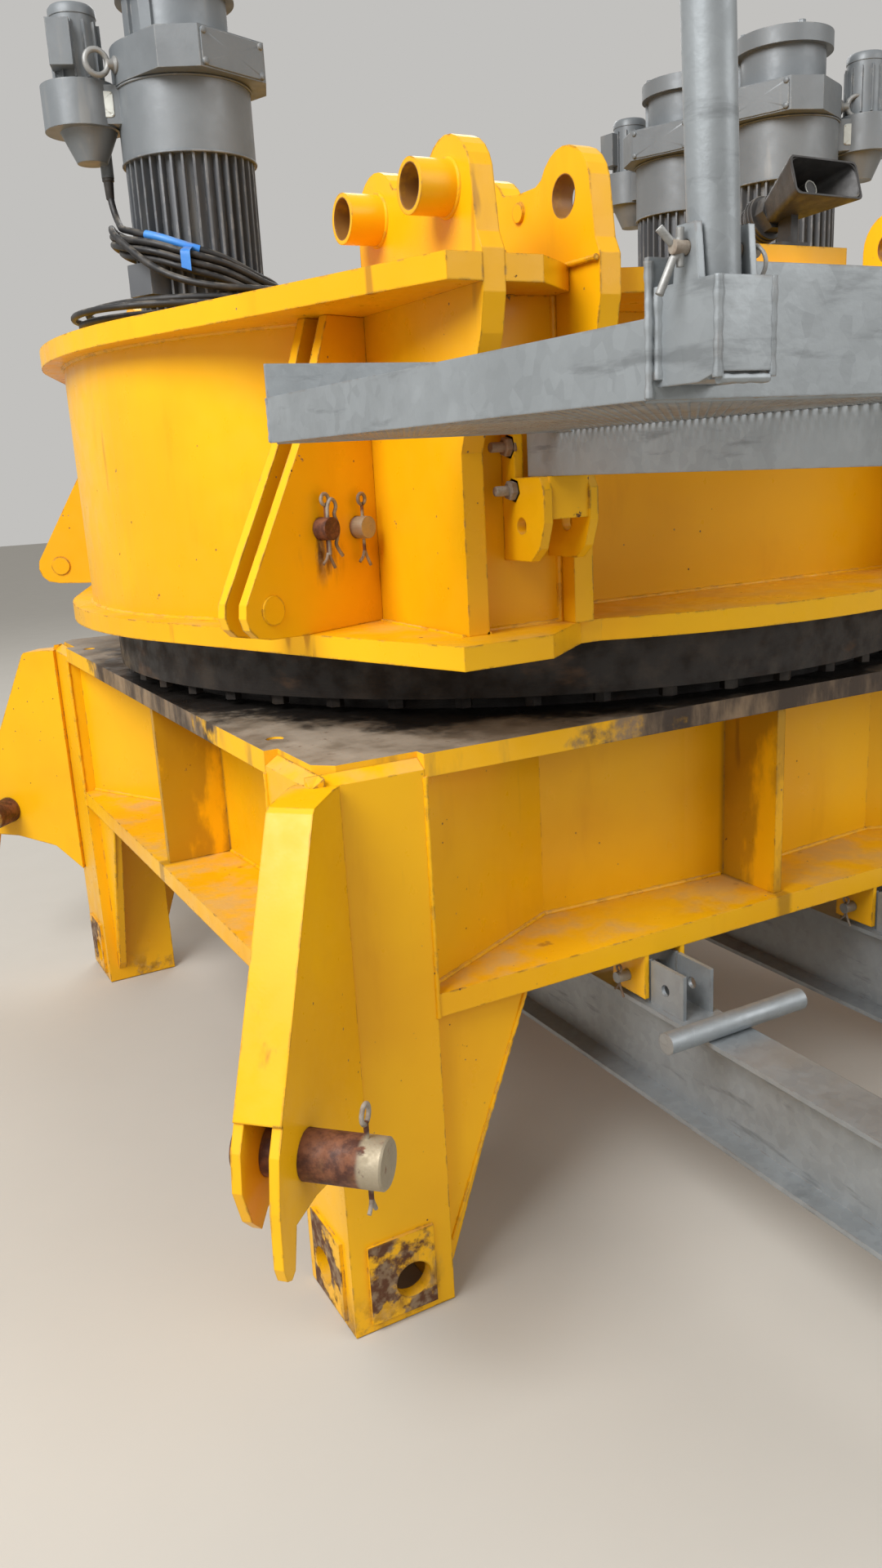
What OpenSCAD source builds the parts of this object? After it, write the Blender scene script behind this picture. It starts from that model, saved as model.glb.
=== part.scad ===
// Slewing unit of a tower crane, stored on its four legs.
// Sizes in mm, +Z up. The origin is on the ground on the slewing axis, and the walkway side faces -Y.
// The deck turns on the slewing ring about the vertical axis.

/* [Lower support] */
// width over the outer faces of the legs
mast_w = 2000; // [1960:20:2060]
// side of a leg box
leg_w = 200; // [190:5:210]
// wall of a leg box
leg_t = 20; // [16:1:22]
// height of the underside of the top plate
plate_z = 996; // [980:2:1010]
// thickness of the top plate
plate_t = 40; // [30:2:50]
// height of the underside of the bottom flange
flange_z = 567; // [550:1:590]
// thickness of the bottom flange
flange_t = 43; // [30:1:50]
// thickness of the webs
web_t = 24; // [18:1:28]
// diameter of the pin hole in a foot
foot_bore = 70; // [60:2:76]

/* [Climbing lugs] */
// width over both side plates of a lug
lug_w = 76; // [70:2:84]
// thickness of a side plate of a lug
lug_t = 16; // [12:1:20]
// diameter of the climbing pin
climb_pin_d = 78; // [70:1:82]
// distance of the climbing pin from the corner of the leg
climb_pin_out = 212; // [205:1:220]
// height of the climbing pin
climb_pin_z = 512; // [505:1:520]

/* [Slewing ring] */
// reach of the outer race past the edge of the top plate
ring_over = 5; // [-5:1:10]
// number of bolts round the ring
ring_bolts = 48; // [24:4:60]
// number of teeth inside the inner race
gear_teeth = 96; // [72:4:112]

/* [Deck] */
// height of the underside of the lower deck flange
deck_z = 1180; // [1176:1:1190]
// thickness of the deck flanges
deck_t = 38; // [30:1:42]
// height of the top of the upper deck flange
deck_top = 1772; // [1760:1:1790]
// reach of the deck flanges past the outer race
deck_over = 95; // [85:1:105]
// distance of the deck wall from the edge of the flanges
wall_in = 45; // [35:1:60]
// thickness of the deck wall
wall_t = 22; // [16:1:26]

/* [Ears] */
// diameter of the bore in an ear
ear_bore = 60; // [50:1:64]
// radius of the head of an ear
ear_r = 70; // [62:1:74]
// height of the ear bores
ear_z = 1872; // [1860:1:1885]
// thickness of an ear plate
ear_t = 38; // [34:1:42]

/* [Motors] */
// distance of the motors from the edge of the deck
motor_in = 340; // [330:2:350]
// diameter of the smooth cowl of a motor
motor_d = 276; // [260:2:286]

/* [Walkway] */
// height of the walkway floor
walk_z = 1525; // [1520:1:1530]
// width of the walkway
walk_w = 800; // [760:5:820]
// diameter of the guard post
post_d = 38; // [36:1:42]

/* [Rails] */
// distance of a rail from the middle
rail_x = 306; // [300:1:312]
// height of a rail
rail_h = 200; // [190:1:204]
// length of a rail
rail_l = 4000; // [3960:20:4040]

/* [Hidden] */

// clearance between pieces that are fitted together
e = 0.5;
h = mast_w / 2;
plate_top = plate_z + plate_t;
web_z1 = flange_z + flange_t;
ring_r = h + ring_over;
race_r = ring_r - 80;
drum_r = ring_r - 175;
deck_r = ring_r + deck_over;
wall_r = deck_r - wall_in;
deck_bot_top = deck_z + deck_t;
deck_up = deck_top - deck_t;
motor_r = deck_r - motor_in;

yellow = [0.93, 0.66, 0.08];
zinc = [0.66, 0.68, 0.69];
rust = [0.36, 0.20, 0.13];
black = [0.07, 0.065, 0.06];
bare = [0.55, 0.51, 0.45];
grey = [0.36, 0.39, 0.42];

// shared shapes
module four(sx, sy) {
  mirror([sx > 0 ? 0 : 1, 0, 0]) mirror([0, sy > 0 ? 0 : 1, 0]) children();
}
module at_corners() {
  for (sx = [-1, 1], sy = [-1, 1]) scale([sx, sy, 1]) children();
}
module both_faces() {
  for (k = [0, 1]) mirror([k, -k, 0]) children();
}
module tube(r1, r2, z1, z2, n = 96) {
  translate([0, 0, z1]) difference() {
    cylinder(r = r1, h = z2 - z1, $fn = n);
    translate([0, 0, -1]) cylinder(r = r2, h = z2 - z1 + 2, $fn = n);
  }
}
module plate_xz(p, y1, y2) {
  translate([0, y2, 0]) rotate([90, 0, 0]) linear_extrude(y2 - y1) polygon(p);
}
module plate_yz(p, x1, x2) {
  translate([x1, 0, 0]) rotate([90, 0, 90]) linear_extrude(x2 - x1) polygon(p);
}
module rod_x(d, l, n = 32) { rotate([0, 90, 0]) cylinder(d = d, h = l, $fn = n); }
module rod_y(d, l, n = 32) { rotate([-90, 0, 0]) cylinder(d = d, h = l, $fn = n); }

// lower support: a thick plate on top, a flange below, webs between the legs
notch = 25;
chamfer = 30;
plug_d = 31;
module base_plate() {
  k = leg_w - notch;
  color(bare) difference() {
    translate([0, 0, plate_z]) linear_extrude(plate_t) difference() {
      square(mast_w, center = true);
      at_corners() translate([h - leg_w, h - leg_w]) difference() {
        square(leg_w + 1);
        polygon([[-1, -1], [k, -1], [k, k - chamfer], [k - chamfer, k], [-1, k]]);
      }
      circle(r = race_r - 165, $fn = 96);
    }
    // plugged holes beside each leg
    at_corners() translate([h - 49, h - leg_w - 75, plate_top - 4]) cylinder(d = plug_d, h = 5, $fn = 24);
  }
}

// the rails hang on lugs under the flange
rail_pin_d = 22;
rail_gap = 10;
rail_z = flange_z - 99 - rail_h;
rail_lug_w = 100;
rail_lug_h = flange_z - rail_z - rail_h - rail_gap;
rail_pin_z = flange_z - 57;
rail_pin_y = h - rail_lug_w / 2 - 5;
module base_flange() {
  color(yellow) {
    translate([0, 0, flange_z]) linear_extrude(flange_t) difference() {
      square(mast_w - 2 * e, center = true);
      at_corners() translate([h - leg_w, h - leg_w]) square(leg_w + 1);
      circle(r = drum_r - web_t, $fn = 96);
    }
    for (k = [0, 1]) at_corners()
      translate([rail_x + 38 - 86 * k, h - rail_lug_w - 1, flange_z - rail_lug_h]) difference() {
        cube([10, rail_lug_w, rail_lug_h + 1]);
        translate([-1, rail_pin_y - h + rail_lug_w + 1, rail_pin_z - flange_z + rail_lug_h])
          rod_x(rail_pin_d + 0.6, 12, 24);
      }
  }
}

// the webs run in from the legs to the drum and have a stiffener in the middle of each side
module base_web() {
  wh = plate_z - web_z1;
  foot = [-(h - leg_w), -h + 30];
  kink = [-(h - 550), -h + 200];
  mid = [0, -drum_r];
  color(yellow) {
    tube(drum_r, drum_r - web_t, web_z1, plate_z, 72);
    for (q = [0 : 3]) rotate(q * 90) {
      for (s = [-1, 1]) scale([s, 1, 1]) translate([0, 0, web_z1]) linear_extrude(wh)
        polygon([foot, kink, mid, mid + [0, web_t], kink + [6, web_t], foot + [0, web_t]]);
      translate([-10, -h + 20, web_z1]) cube([20, 160, wh]);
    }
  }
}

// side plate of a climbing lug, seen across the diagonal: x outwards, y up
out_dir = 225;
top_lip = plate_z + 16;
module lug_side(long) {
  tongue = long
    ? [[303, 560], [318, 480], [322, 392], [314, 368], [300, 360], [286, 366], [268, 430], [191, 428],
       [60, 400], [-25, 330]]
    : [[303, 560], [310, 500], [290, 440], [262, 410], [236, 430], [191, 432], [60, 410], [-25, 340]];
  rotate([90, 0, 0]) linear_extrude(lug_t) difference() {
    polygon(concat([[-25, top_lip], [0, top_lip], [78, top_lip - 7], [84, top_lip - 14], [278, 608],
      [284, 596]], tongue));
    translate([climb_pin_out, climb_pin_z]) circle(d = climb_pin_d + e, $fn = 40);
  }
}
pad_z = 17;
foot_hole = [117, 79];
module leg() {
  difference() {
    union() {
      cube([leg_w, leg_w, plate_z]);
      rotate([0, 0, out_dir]) {
        translate([0, lug_w / 2, 0]) lug_side(true);
        translate([0, -lug_w / 2 + lug_t, 0]) lug_side(false);
        // folded cover over both side plates
        translate([0, lug_w / 2, 0]) rotate([90, 0, 0]) linear_extrude(lug_w)
          polygon([[-20, top_lip], [0, top_lip + 1], [78, top_lip - 6], [86, top_lip - 13], [287, 600],
            [270, 600], [72, top_lip - 24], [-20, top_lip - 22]]);
      }
      // tapered gussets below the flange
      both_faces() plate_xz([[leg_w - 5, 30], [leg_w + 18, 60], [leg_w + 195, flange_z],
        [leg_w - 5, flange_z]], 30, 50);
      // foot pads
      both_faces() translate([32, -7, pad_z]) cube([130, 10, 158]);
    }
    translate([leg_t, leg_t, -1]) cube([leg_w - 2 * leg_t, leg_w - 2 * leg_t, plate_z + 2]);
    both_faces() translate([foot_hole[0], -20, foot_hole[1]]) rod_y(foot_bore, 20 + leg_t + e, 40);
  }
  // trim on top of the leg, outside the notch of the plate
  both_faces() plate_yz([[0, plate_z], [0, plate_z + 14], [notch - e, plate_z + 30], [notch - e, plate_z]],
    0, leg_w - e);
}
module legs(q) { color(yellow) rotate(q * 90) translate([-h, -h, 0]) leg(); }
module leg_fl() { legs(0); }
module leg_fr() { legs(1); }
module leg_br() { legs(2); }
module leg_bl() { legs(3); }

// pin of a climbing lug, its long end beside the long tongue
module climb_pin(q) {
  inner = 32;
  outer = 125;
  l = inner + lug_w + outer;
  color(rust) rotate(q * 90) translate([-h, -h, 0]) rotate([0, 0, out_dir])
    translate([climb_pin_out, -lug_w / 2 - inner, climb_pin_z]) {
      rod_y(climb_pin_d, l, 40);
      translate([0, l, 0]) rotate([-90, 0, 0]) cylinder(d1 = climb_pin_d, d2 = climb_pin_d - 6, h = 3, $fn = 40);
      // split pins
      for (y = [inner / 2, l - 28]) translate([0, y, -62]) cylinder(d = 8, h = 128, $fn = 12);
    }
}
module climb_pin_fl() { climb_pin(0); }
module climb_pin_fr() { climb_pin(1); }
module climb_pin_br() { climb_pin(2); }
module climb_pin_bl() { climb_pin(3); }

// slewing ring: toothed inner race on the support, outer race with bolt heads on the deck
race_gap = 0.4;
tooth_h = 32;
module gear_ring() {
  r1 = race_r - 119;
  color(black) translate([0, 0, plate_top]) linear_extrude(deck_z - 16 - plate_top) difference() {
    circle(r = race_r - race_gap, $fn = 180);
    polygon([for (i = [0 : gear_teeth - 1], k = [0 : 3])
      let(a = (i + [0.02, 0.28, 0.44, 0.86][k]) * 360 / gear_teeth, r = r1 + [0, tooth_h, tooth_h, 0][k])
      [r * cos(a), r * sin(a)]]);
  }
}
module outer_race() {
  color(black) {
    tube(ring_r, race_r, plate_top + 34, deck_z, 180);
    for (i = [0 : ring_bolts - 1]) rotate(i * 360 / ring_bolts)
      translate([ring_r - 27, 0, plate_top + 14]) cylinder(d = 34, h = 21, $fn = 6);
  }
}

// deck flanges: round at the sides, square at the ears
ear_x = [-(deck_r - 385), -(deck_r - 590)];
ear_y = [-(deck_r - 90), -(deck_r - 324)];
front_y = -(deck_r - 280);
recess_y = -(deck_r - 120);
// a quarter of the outline from the side to the front, mirrored all round
side_turn = 20.15;
side_end = asin((deck_r - 95) / deck_r);
function on_deck(a) = [deck_r * cos(a), deck_r * sin(a)];
deck_q = concat([for (i = [0 : 7]) on_deck(i * side_turn / 7)],
  [[deck_r - 325, deck_r + 5], [deck_r - 490, deck_r], [deck_r - 610, deck_r - 95]],
  [for (i = [0 : 7]) on_deck(side_end + i * (90 - side_end) / 7)]);
deck_n = len(deck_q) - 1;
module deck_outline() {
  polygon(concat(deck_q, [for (i = [deck_n - 1 : -1 : 0]) [-deck_q[i][0], deck_q[i][1]]],
    [for (i = [1 : deck_n]) [-deck_q[i][0], -deck_q[i][1]]],
    [for (i = [deck_n - 1 : -1 : 1]) [deck_q[i][0], -deck_q[i][1]]]));
}
tube_r = deck_r - 500;
module deck_bottom() {
  color(yellow) difference() {
    translate([0, 0, deck_z]) linear_extrude(deck_t) difference() {
      deck_outline();
      circle(r = tube_r, $fn = 72);
    }
    ear_slots();
  }
}
motor_turn = [180, -14, 14];
block_h = 38;
module deck_top_plate() {
  color(yellow) {
    difference() {
      translate([0, 0, deck_up]) linear_extrude(deck_t) difference() {
        deck_outline();
        circle(r = tube_r - 180, $fn = 72);
      }
      for (a = motor_turn) rotate(a) translate([motor_r, 0, deck_up - 1]) cylinder(d = 150, h = deck_t + 2, $fn = 36);
      ear_slots();
    }
    // block under the horn
    translate([-170, -(deck_r - 45), deck_top - 1]) cube([220, 50, block_h + 1]);
  }
}
module ear_slots() {
  at_corners() for (x = ear_x) translate([x - e / 2, -deck_r - 20, deck_bot_top])
    cube([ear_t + e, deck_r + 20 + ear_y[1] + ear_r + e, deck_top]);
}
// the wall leaves the circle towards the ears
function wall_at(a, d) = let(q = max(0, abs(a) - 8) / 36, r = wall_r - 60 * pow(q, 1.4) - d)
  [-r * cos(a), -r * sin(a)];
module wall_shape(d) {
  for (s = [-1, 1]) scale([s, 1]) polygon(concat([for (a = [-46 : 2 : 46]) wall_at(a, d)], [[0, 0]]));
}
module deck_wall() {
  in1 = -ear_x[0] - ear_t;
  in2 = -ear_x[1] - ear_t;
  color(yellow) translate([0, 0, deck_bot_top]) linear_extrude(deck_up - deck_bot_top) {
    difference() {
      wall_shape(0);
      wall_shape(wall_t);
      square([-2 * ear_x[0] + 2 * e, 3 * deck_r], center = true);
      circle(r = 640);
    }
    at_corners() {
      translate([0, front_y]) square([in2 - e, wall_t]);
      // recessed wall between the ear plates
      translate([-ear_x[1] + e, recess_y]) square([in1 + ear_x[1] - 2 * e, wall_t]);
    }
  }
}
module deck_tube() { color(yellow) tube(tube_r + 24, tube_r, deck_bot_top, deck_up, 72); }

// pair of ear plates with tube sockets, front left
module ear_plate() {
  k = -deck_r;
  p = [[k + 82, deck_bot_top], [k + 82, deck_top - 272], [k + 10, deck_top - 107], [k - 2, deck_top - 52],
    [k - 2, deck_top + 6], [k + 10, deck_top + 30], [ear_y[0] - ear_r, ear_z],
    for (a = [180 : -15 : 20]) [ear_y[0] + ear_r * cos(a), ear_z + ear_r * sin(a)],
    [ear_y[0] + 77, ear_z + 28], [ear_y[0] + 133, ear_z + 28],
    for (a = [150 : -15 : 0]) [ear_y[1] + ear_r * cos(a), ear_z + ear_r * sin(a)],
    [ear_y[1] + ear_r, deck_up - e], [k + 460, deck_up - e], [k + 460, deck_bot_top]];
  difference() {
    rotate([90, 0, 90]) linear_extrude(ear_t) polygon(p);
    for (y = ear_y) translate([-1, y, ear_z]) rod_x(ear_bore, ear_t + 2, 36);
  }
}
socket_l = 63;
module ears() {
  for (x = ear_x) translate([x, 0, 0]) ear_plate();
  // tube sockets with a hole on top for the keeper
  for (y = ear_y) translate([ear_x[0] - socket_l + 1, y, ear_z]) difference() {
    rod_x(ear_bore + 16, socket_l, 36);
    translate([-1, 0, 0]) rod_x(ear_bore, socket_l + 3, 36);
    translate([socket_l - 38, 0, 0]) cylinder(d = 12, h = 60, $fn = 16);
  }
  // small boss between the ears
  translate([ear_x[1] - 5, (ear_y[0] + ear_y[1]) / 2 + 8, ear_z]) rod_x(30, ear_t + 10, 24);
}
module ear_fl() { color(yellow) four(1, 1) ears(); }
module ear_fr() { color(yellow) four(-1, 1) ears(); }
module ear_bl() { color(yellow) four(1, -1) ears(); }
module ear_br() { color(yellow) four(-1, -1) ears(); }

// pair of slanted lugs on the side of the deck, one plate behind the other
side_at = [-(wall_r - 370), -(wall_r - 374)];
side_dir = atan2(-396, -918);
side_t = 18;
side_gap = 50;
side_pin_d = 38;
side_pins_at = [[182, 1391], [90, 1387]];
module side_frame() { translate([side_at[0], side_at[1], 0]) rotate([0, 0, side_dir]) children(); }
module side_lug() {
  p = [[0, deck_bot_top + e], [250, deck_bot_top + e], [318, 1222], [346, 1228], [362, 1242], [369, 1262],
    [366, 1284], [217, 1528], [128, deck_up - e], [0, deck_up - e]];
  difference() {
    side_frame() for (s = [0, 1]) translate([0, -s * side_gap, 0]) difference() {
      union() {
        rotate([90, 0, 0]) translate([0, 0, -side_t / 2]) linear_extrude(side_t) polygon(p);
        // boss at the foot of the lug
        translate([309, s * -(side_t / 2 + 4), 1269]) rod_y(48, side_t / 2 + 4, 28);
      }
      for (u = side_pins_at) translate([u[0], -30, u[1]]) rod_y(side_pin_d + e, 60);
    }
    translate([0, 0, deck_z]) linear_extrude(deck_top) {
      wall_shape(-e);
      translate([ear_x[0] - e, -2 * deck_r]) square([2 * deck_r, 2 * deck_r]);
    }
  }
}
module side_lug_fl() { color(yellow) four(1, 1) side_lug(); }
module side_lug_bl() { color(yellow) four(1, -1) side_lug(); }
module side_lug_fr() { color(yellow) four(-1, 1) side_lug(); }
module side_lug_br() { color(yellow) four(-1, -1) side_lug(); }
module side_pins() {
  l = side_gap + side_t + 44;
  color(rust) for (sx = [1, -1], sy = [1, -1]) four(sx, sy) side_frame()
    for (u = side_pins_at) translate([u[0], -side_gap - side_t / 2 - 17, u[1]]) {
      rod_y(side_pin_d, l);
      translate([0, l - 13, -40]) cylinder(d = 6, h = 80, $fn = 10);
    }
}

// rails under the support, with pinned plates under the flange and a free pair outside it
rail_w = 100;
rail_plate_t = 8;
module rail(s) {
  zt = rail_z + rail_h;
  color(zinc) scale([s, 1, 1]) translate([-rail_x, 0, 0]) {
    for (z = [rail_z, zt - 10]) translate([-rail_w / 2, -rail_l / 2, z]) cube([rail_w, rail_l, 10]);
    translate([-4, -rail_l / 2, rail_z + 6]) cube([8, rail_l, rail_h - 12]);
    for (sy = [-1, 1], k = [0, 1], x = [-36, 28]) scale([1, sy, 1])
      translate([x, h - rail_lug_w + 2 + rail_lug_w * k, zt - 1]) difference() {
        cube([rail_plate_t, rail_lug_w - 6, rail_lug_h]);
        translate([-1, rail_pin_y - h + rail_lug_w - 2, rail_pin_z - zt + 1])
          rod_x(rail_pin_d + 0.6, rail_plate_t + 2, 24);
      }
  }
}
module rail_left() { rail(1); }
module rail_right() { rail(-1); }
module rail_pins() {
  color(zinc) for (s = [-1, 1], y = [-1, 1])
    translate([s * rail_x - 75, y * rail_pin_y, rail_pin_z]) rod_x(rail_pin_d, 150, 24);
}
bar_d = 40;
module cross_bar() {
  color(zinc) translate([-rail_x - 141, -h - 175, rail_z + rail_h + bar_d / 2]) rod_x(bar_d, 317);
}

// slewing motors: finned body, smooth cowl, boxed collar, brake drum and cap, blower at the side
fin_top = 345;
cowl_top = 485;
collar_h = 74;
drum_top = 650;
motor_cap_h = 38;
module motor(a, box, side) {
  r = motor_d / 2;
  color(grey) rotate(a) translate([motor_r, 0, deck_top]) {
    cylinder(d = 190, h = 20, $fn = 40);
    translate([0, 0, 10]) cylinder(d = motor_d - 44, h = fin_top - 5, $fn = 40);
    for (i = [0 : 35]) rotate(i * 10 + 5) translate([motor_d / 2 - 28, -2.5, 15]) cube([24, 5, fin_top - 12]);
    translate([0, 0, fin_top]) cylinder(r = r, h = cowl_top - fin_top + collar_h, $fn = 60);
    // boxed collar with two flat faces that meet at a corner
    translate([0, 0, cowl_top]) rotate(box - a) linear_extrude(collar_h) {
      circle(r = r + 4, $fn = 60);
      polygon([[0, -r - 4], [r * 0.72, -r - 4], [r + 22, -r * 0.62], [r + 22, r * 0.62],
        [r * 0.72, r + 4], [0, r + 4]]);
    }
    // brake drum with two ribs, and the cap
    translate([0, 0, cowl_top]) cylinder(d = 206, h = drum_top - cowl_top, $fn = 48);
    for (q = [-16, 16]) rotate(box - a - 90 + q) translate([96, -14, cowl_top]) cube([14, 28, drum_top - cowl_top]);
    translate([0, 0, drum_top - 2]) cylinder(d = motor_d - 36, h = motor_cap_h, $fn = 60);
    translate([0, 0, drum_top - 2 + motor_cap_h]) cylinder(d1 = motor_d - 40, d2 = 120, h = 14, $fn = 60);
    // terminal box at the foot
    rotate(side - a + 45) translate([r - 40, -34, 80]) cube([74, 68, 62]);
    rotate(side - a) blower();
  }
}
gland_out = 176.7;
module blower() {
  r = motor_d / 2;
  // duct to the cowl, volute, inlet below and its small motor above
  translate([r - 30, -52, cowl_top - 68]) cube([100, 104, 72]);
  translate([r + 74, 0, cowl_top - 72]) cylinder(d = 152, h = 84, $fn = 40);
  translate([r + 62, 0, cowl_top - 130]) cylinder(d1 = 62, d2 = 118, h = 60, $fn = 32);
  translate([r + 70, 0, cowl_top + 8]) cylinder(d = 92, h = 138, $fn = 32);
  for (i = [0 : 11]) translate([r + 70, 0, cowl_top + 20]) rotate(i * 30) translate([44, -2, 0])
    cube([8, 4, 104]);
  translate([r + 70, 30, cowl_top + 34]) cube([46, 44, 84]);
  // cable gland beside the inlet
  rotate(-8) translate([gland_out, 0, cowl_top - 152]) cylinder(d = 26, h = 60, $fn = 24);
}
module motor_left() { motor(motor_turn[0], 292, 160); }
module motor_near() { motor(motor_turn[1], 204, -28); }
module motor_far() { motor(motor_turn[2], 204, 100); }

// walkway on the front of the deck: bracket on the recessed wall, arm, tray and mesh floor
arm_w = 66;
arm_z = walk_z - 65;
arm_x = ear_x[0] + ear_t + 74;
hook_t = 16;
module walk_bracket() {
  k = recess_y;
  color(yellow) {
    for (x = [arm_x - hook_t - 2, arm_x + arm_w + 2]) difference() {
      plate_yz([[k - e, arm_z - 130], [k - 80, arm_z - 130], [k - 105, arm_z - 110], [k - 120, arm_z - 70],
        [k - 120, arm_z - 20], [k - 110, arm_z - 1], [k - 40, arm_z - 1], [k - 40, arm_z + 80],
        [k - e, arm_z + 80]], x, x + hook_t);
      translate([x - 1, k - 55, arm_z - 75]) rod_x(26, hook_t + 2, 24);
    }
    // lip under the arm
    translate([arm_x - 3, k - 116, arm_z - 65]) cube([arm_w + 6, 56, 64.8]);
  }
}
walk_x1 = -(deck_r - 45);
walk_x2 = 420;
walk_in = -deck_r;
walk_y = walk_in - walk_w;
board_t = 5;
module walk_arm() {
  in_end = recess_y - 50;
  color(zinc) translate([arm_x, walk_y + 10, arm_z]) difference() {
    cube([arm_w, in_end - walk_y - 10, walk_z - arm_z]);
    translate([5, -1, 5]) cube([arm_w - 10, 2 * walk_w, walk_z - arm_z - 10]);
  }
}
socket_w = 55;
socket_h = 78;
socket_z = walk_z + 15;
module walk_frame() {
  color(zinc) {
    // outer and inner boards, lower boards at the ends
    for (y = [walk_y, walk_in - board_t]) translate([walk_x1, y, walk_z]) cube([walk_x2 - walk_x1, board_t, 100]);
    for (x = [walk_x1, walk_x2 - board_t]) translate([x, walk_y, walk_z]) cube([board_t, walk_w, 58]);
    // folded socket of the guard post on the outside of the corner
    translate([walk_x1 + 8, walk_y - 66, socket_z]) {
      for (x = [0, socket_w - 6]) translate([x, 0, 0]) difference() {
        plate_yz([[0, 0], [0, socket_h - 14], [20, socket_h - 14], [24, socket_h + 24], [44, socket_h + 24],
          [48, socket_h - 14], [66.5, socket_h - 14], [66.5, -6], [20, -6]], 0, 6);
        translate([-1, 34, socket_h + 8]) rod_x(11, 8, 16);
      }
      cube([socket_w, 6, socket_h - 14]);
      translate([2, 10, -5]) cube([socket_w - 4, 50, 6]);
    }
  }
}
module walk_mesh() {
  color(zinc) translate([walk_x1 + board_t + e, walk_y + board_t + e, walk_z])
    cube([walk_x2 - walk_x1 - 2 * board_t - 2 * e, walk_w - 2 * board_t - 2 * e, 4]);
}
// the guard post leans a little to the left in its socket
post_at = [walk_x1 + 8 + socket_w / 2 + 2.2, walk_y - 32, socket_z + 3];
post_lean = -2.6;
module guard_post() {
  color(zinc) translate(post_at) rotate([0, post_lean, 0]) difference() {
    cylinder(d = post_d, h = 1085, $fn = 32);
    translate([0, 0, -1]) cylinder(d = post_d - 6, h = 1088, $fn = 32);
    translate([0, 0, socket_h + 5]) rotate([0, -post_lean, 0]) translate([-post_d, 0, 0]) rod_x(11.5, 2 * post_d, 16);
  }
}
module post_pin() {
  color(zinc) translate([walk_x1 - 4, post_at[1], socket_z + socket_h + 8]) rod_x(10, socket_w + 24, 16);
}

// signal horn on its block
horn_at = [-70, -(deck_r - 43), deck_top + 112];
horn_turn = [-16, 0, 3];
module mouth(w, t, y) {
  translate([0, y, 0]) rotate([90, 0, 0]) linear_extrude(3) offset(r = 8, $fn = 16) square([w - 16, t - 16], center = true);
}
module horn() {
  color(grey) {
    translate(horn_at) rotate(horn_turn) {
      difference() {
        hull() { mouth(156, 62, -60); mouth(44, 38, 54); }
        hull() { mouth(150, 56, -61); mouth(34, 28, 44); }
      }
      translate([0, 50, 0]) rod_y(62, 22, 6);
      translate([0, 69, 0]) rod_y(72, 18, 24);
      translate([0, 84, 0]) rod_y(60, 20, 24);
      translate([0, -28, 0]) rod_y(24, 82, 20);
    }
    // foot of the horn
    translate([horn_at[0] - 8, horn_at[1] + 6, deck_top + block_h]) cube([16, 30, 56]);
    translate([horn_at[0] - 30, horn_at[1] + 4, deck_top + block_h]) cube([60, 42, 6]);
  }
}

// cable wound round the left motor, its end laid on the deck
cable_d = 14;
cable_mid = [-motor_r, 0];
coil_r = [motor_d / 2, motor_d / 2 + 50];
heap_r = 310;
heap_h = 76;
coil_lean = 19.5;
coil_side = 152;
module cable_coil() {
  color(black) translate([cable_mid[0], cable_mid[1], deck_top + 0.3]) difference() {
    union() {
      cylinder(r = heap_r, h = heap_h, $fn = 48);
      intersection() {
        cylinder(r = coil_r[1], h = 300, $fn = 48);
        translate([0, 0, 145]) rotate([0, 0, coil_side]) rotate([0, -coil_lean, 0])
          cube([900, 900, 58], center = true);
      }
    }
    translate([0, 0, -1]) cylinder(r = coil_r[0], h = 400, $fn = 60);
    // room for the terminal box
    rotate(205) translate([0, -36, heap_h]) cube([180, 72, 70]);
  }
}
// rings of a tube along a route
function unit(v) = v / norm(v);
function along(p, i) = unit(p[min(i + 1, len(p) - 1)] - p[max(i - 1, 0)]);
module sweep(p, d, n = 8) {
  k = len(p);
  polyhedron(
    [for (i = [0 : k - 1], j = [0 : n - 1])
      let(t = along(p, i), u = unit(cross(t, abs(t[2]) > 0.9 ? [1, 0, 0] : [0, 0, 1])), v = cross(t, u))
      p[i] + d / 2 * (cos(360 * j / n) * u + sin(360 * j / n) * v)],
    concat([[for (j = [0 : n - 1]) j]], [[for (j = [n - 1 : -1 : 0]) (k - 1) * n + j]],
      [for (i = [0 : k - 2], j = [0 : n - 1]) let(m = (j + 1) % n) [i * n + j, (i + 1) * n + j, (i + 1) * n + m, i * n + m]]),
    convexity = 4);
}
// route points from the gland under the blower down into the winding
lead_route = [[-916, 83, 2105], [-916, 83, 2084], [-916, 82, 2063], [-913, 77, 2040], [-912, 64, 2021],
  [-913, 47, 2010.2]];
// route points from the edge of the heap to the plug on the deck
tail_route = [[-659, 300, 1785.5], [-680, 324, 1780], [-702, 352, 1779.5], [-726, 378, 1779.5],
  [-752, 402, 1781], [-776, 423.5, 1788], [-797, 439.3, 1796], [-810, 448.7, 1798],
  [-824, 458.9, 1798]];
plug_dir = 144;
module cable_lead() { color(black) sweep(lead_route, cable_d); }
module cable_tail() { color(black) sweep(tail_route, cable_d); }
module cable_plug() {
  color(black) translate(tail_route[len(tail_route) - 1]) rotate([0, 0, plug_dir]) {
    rod_x(34, 50, 24);
    translate([50, 0, 0]) rod_x(51, 70, 32);
  }
}

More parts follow.
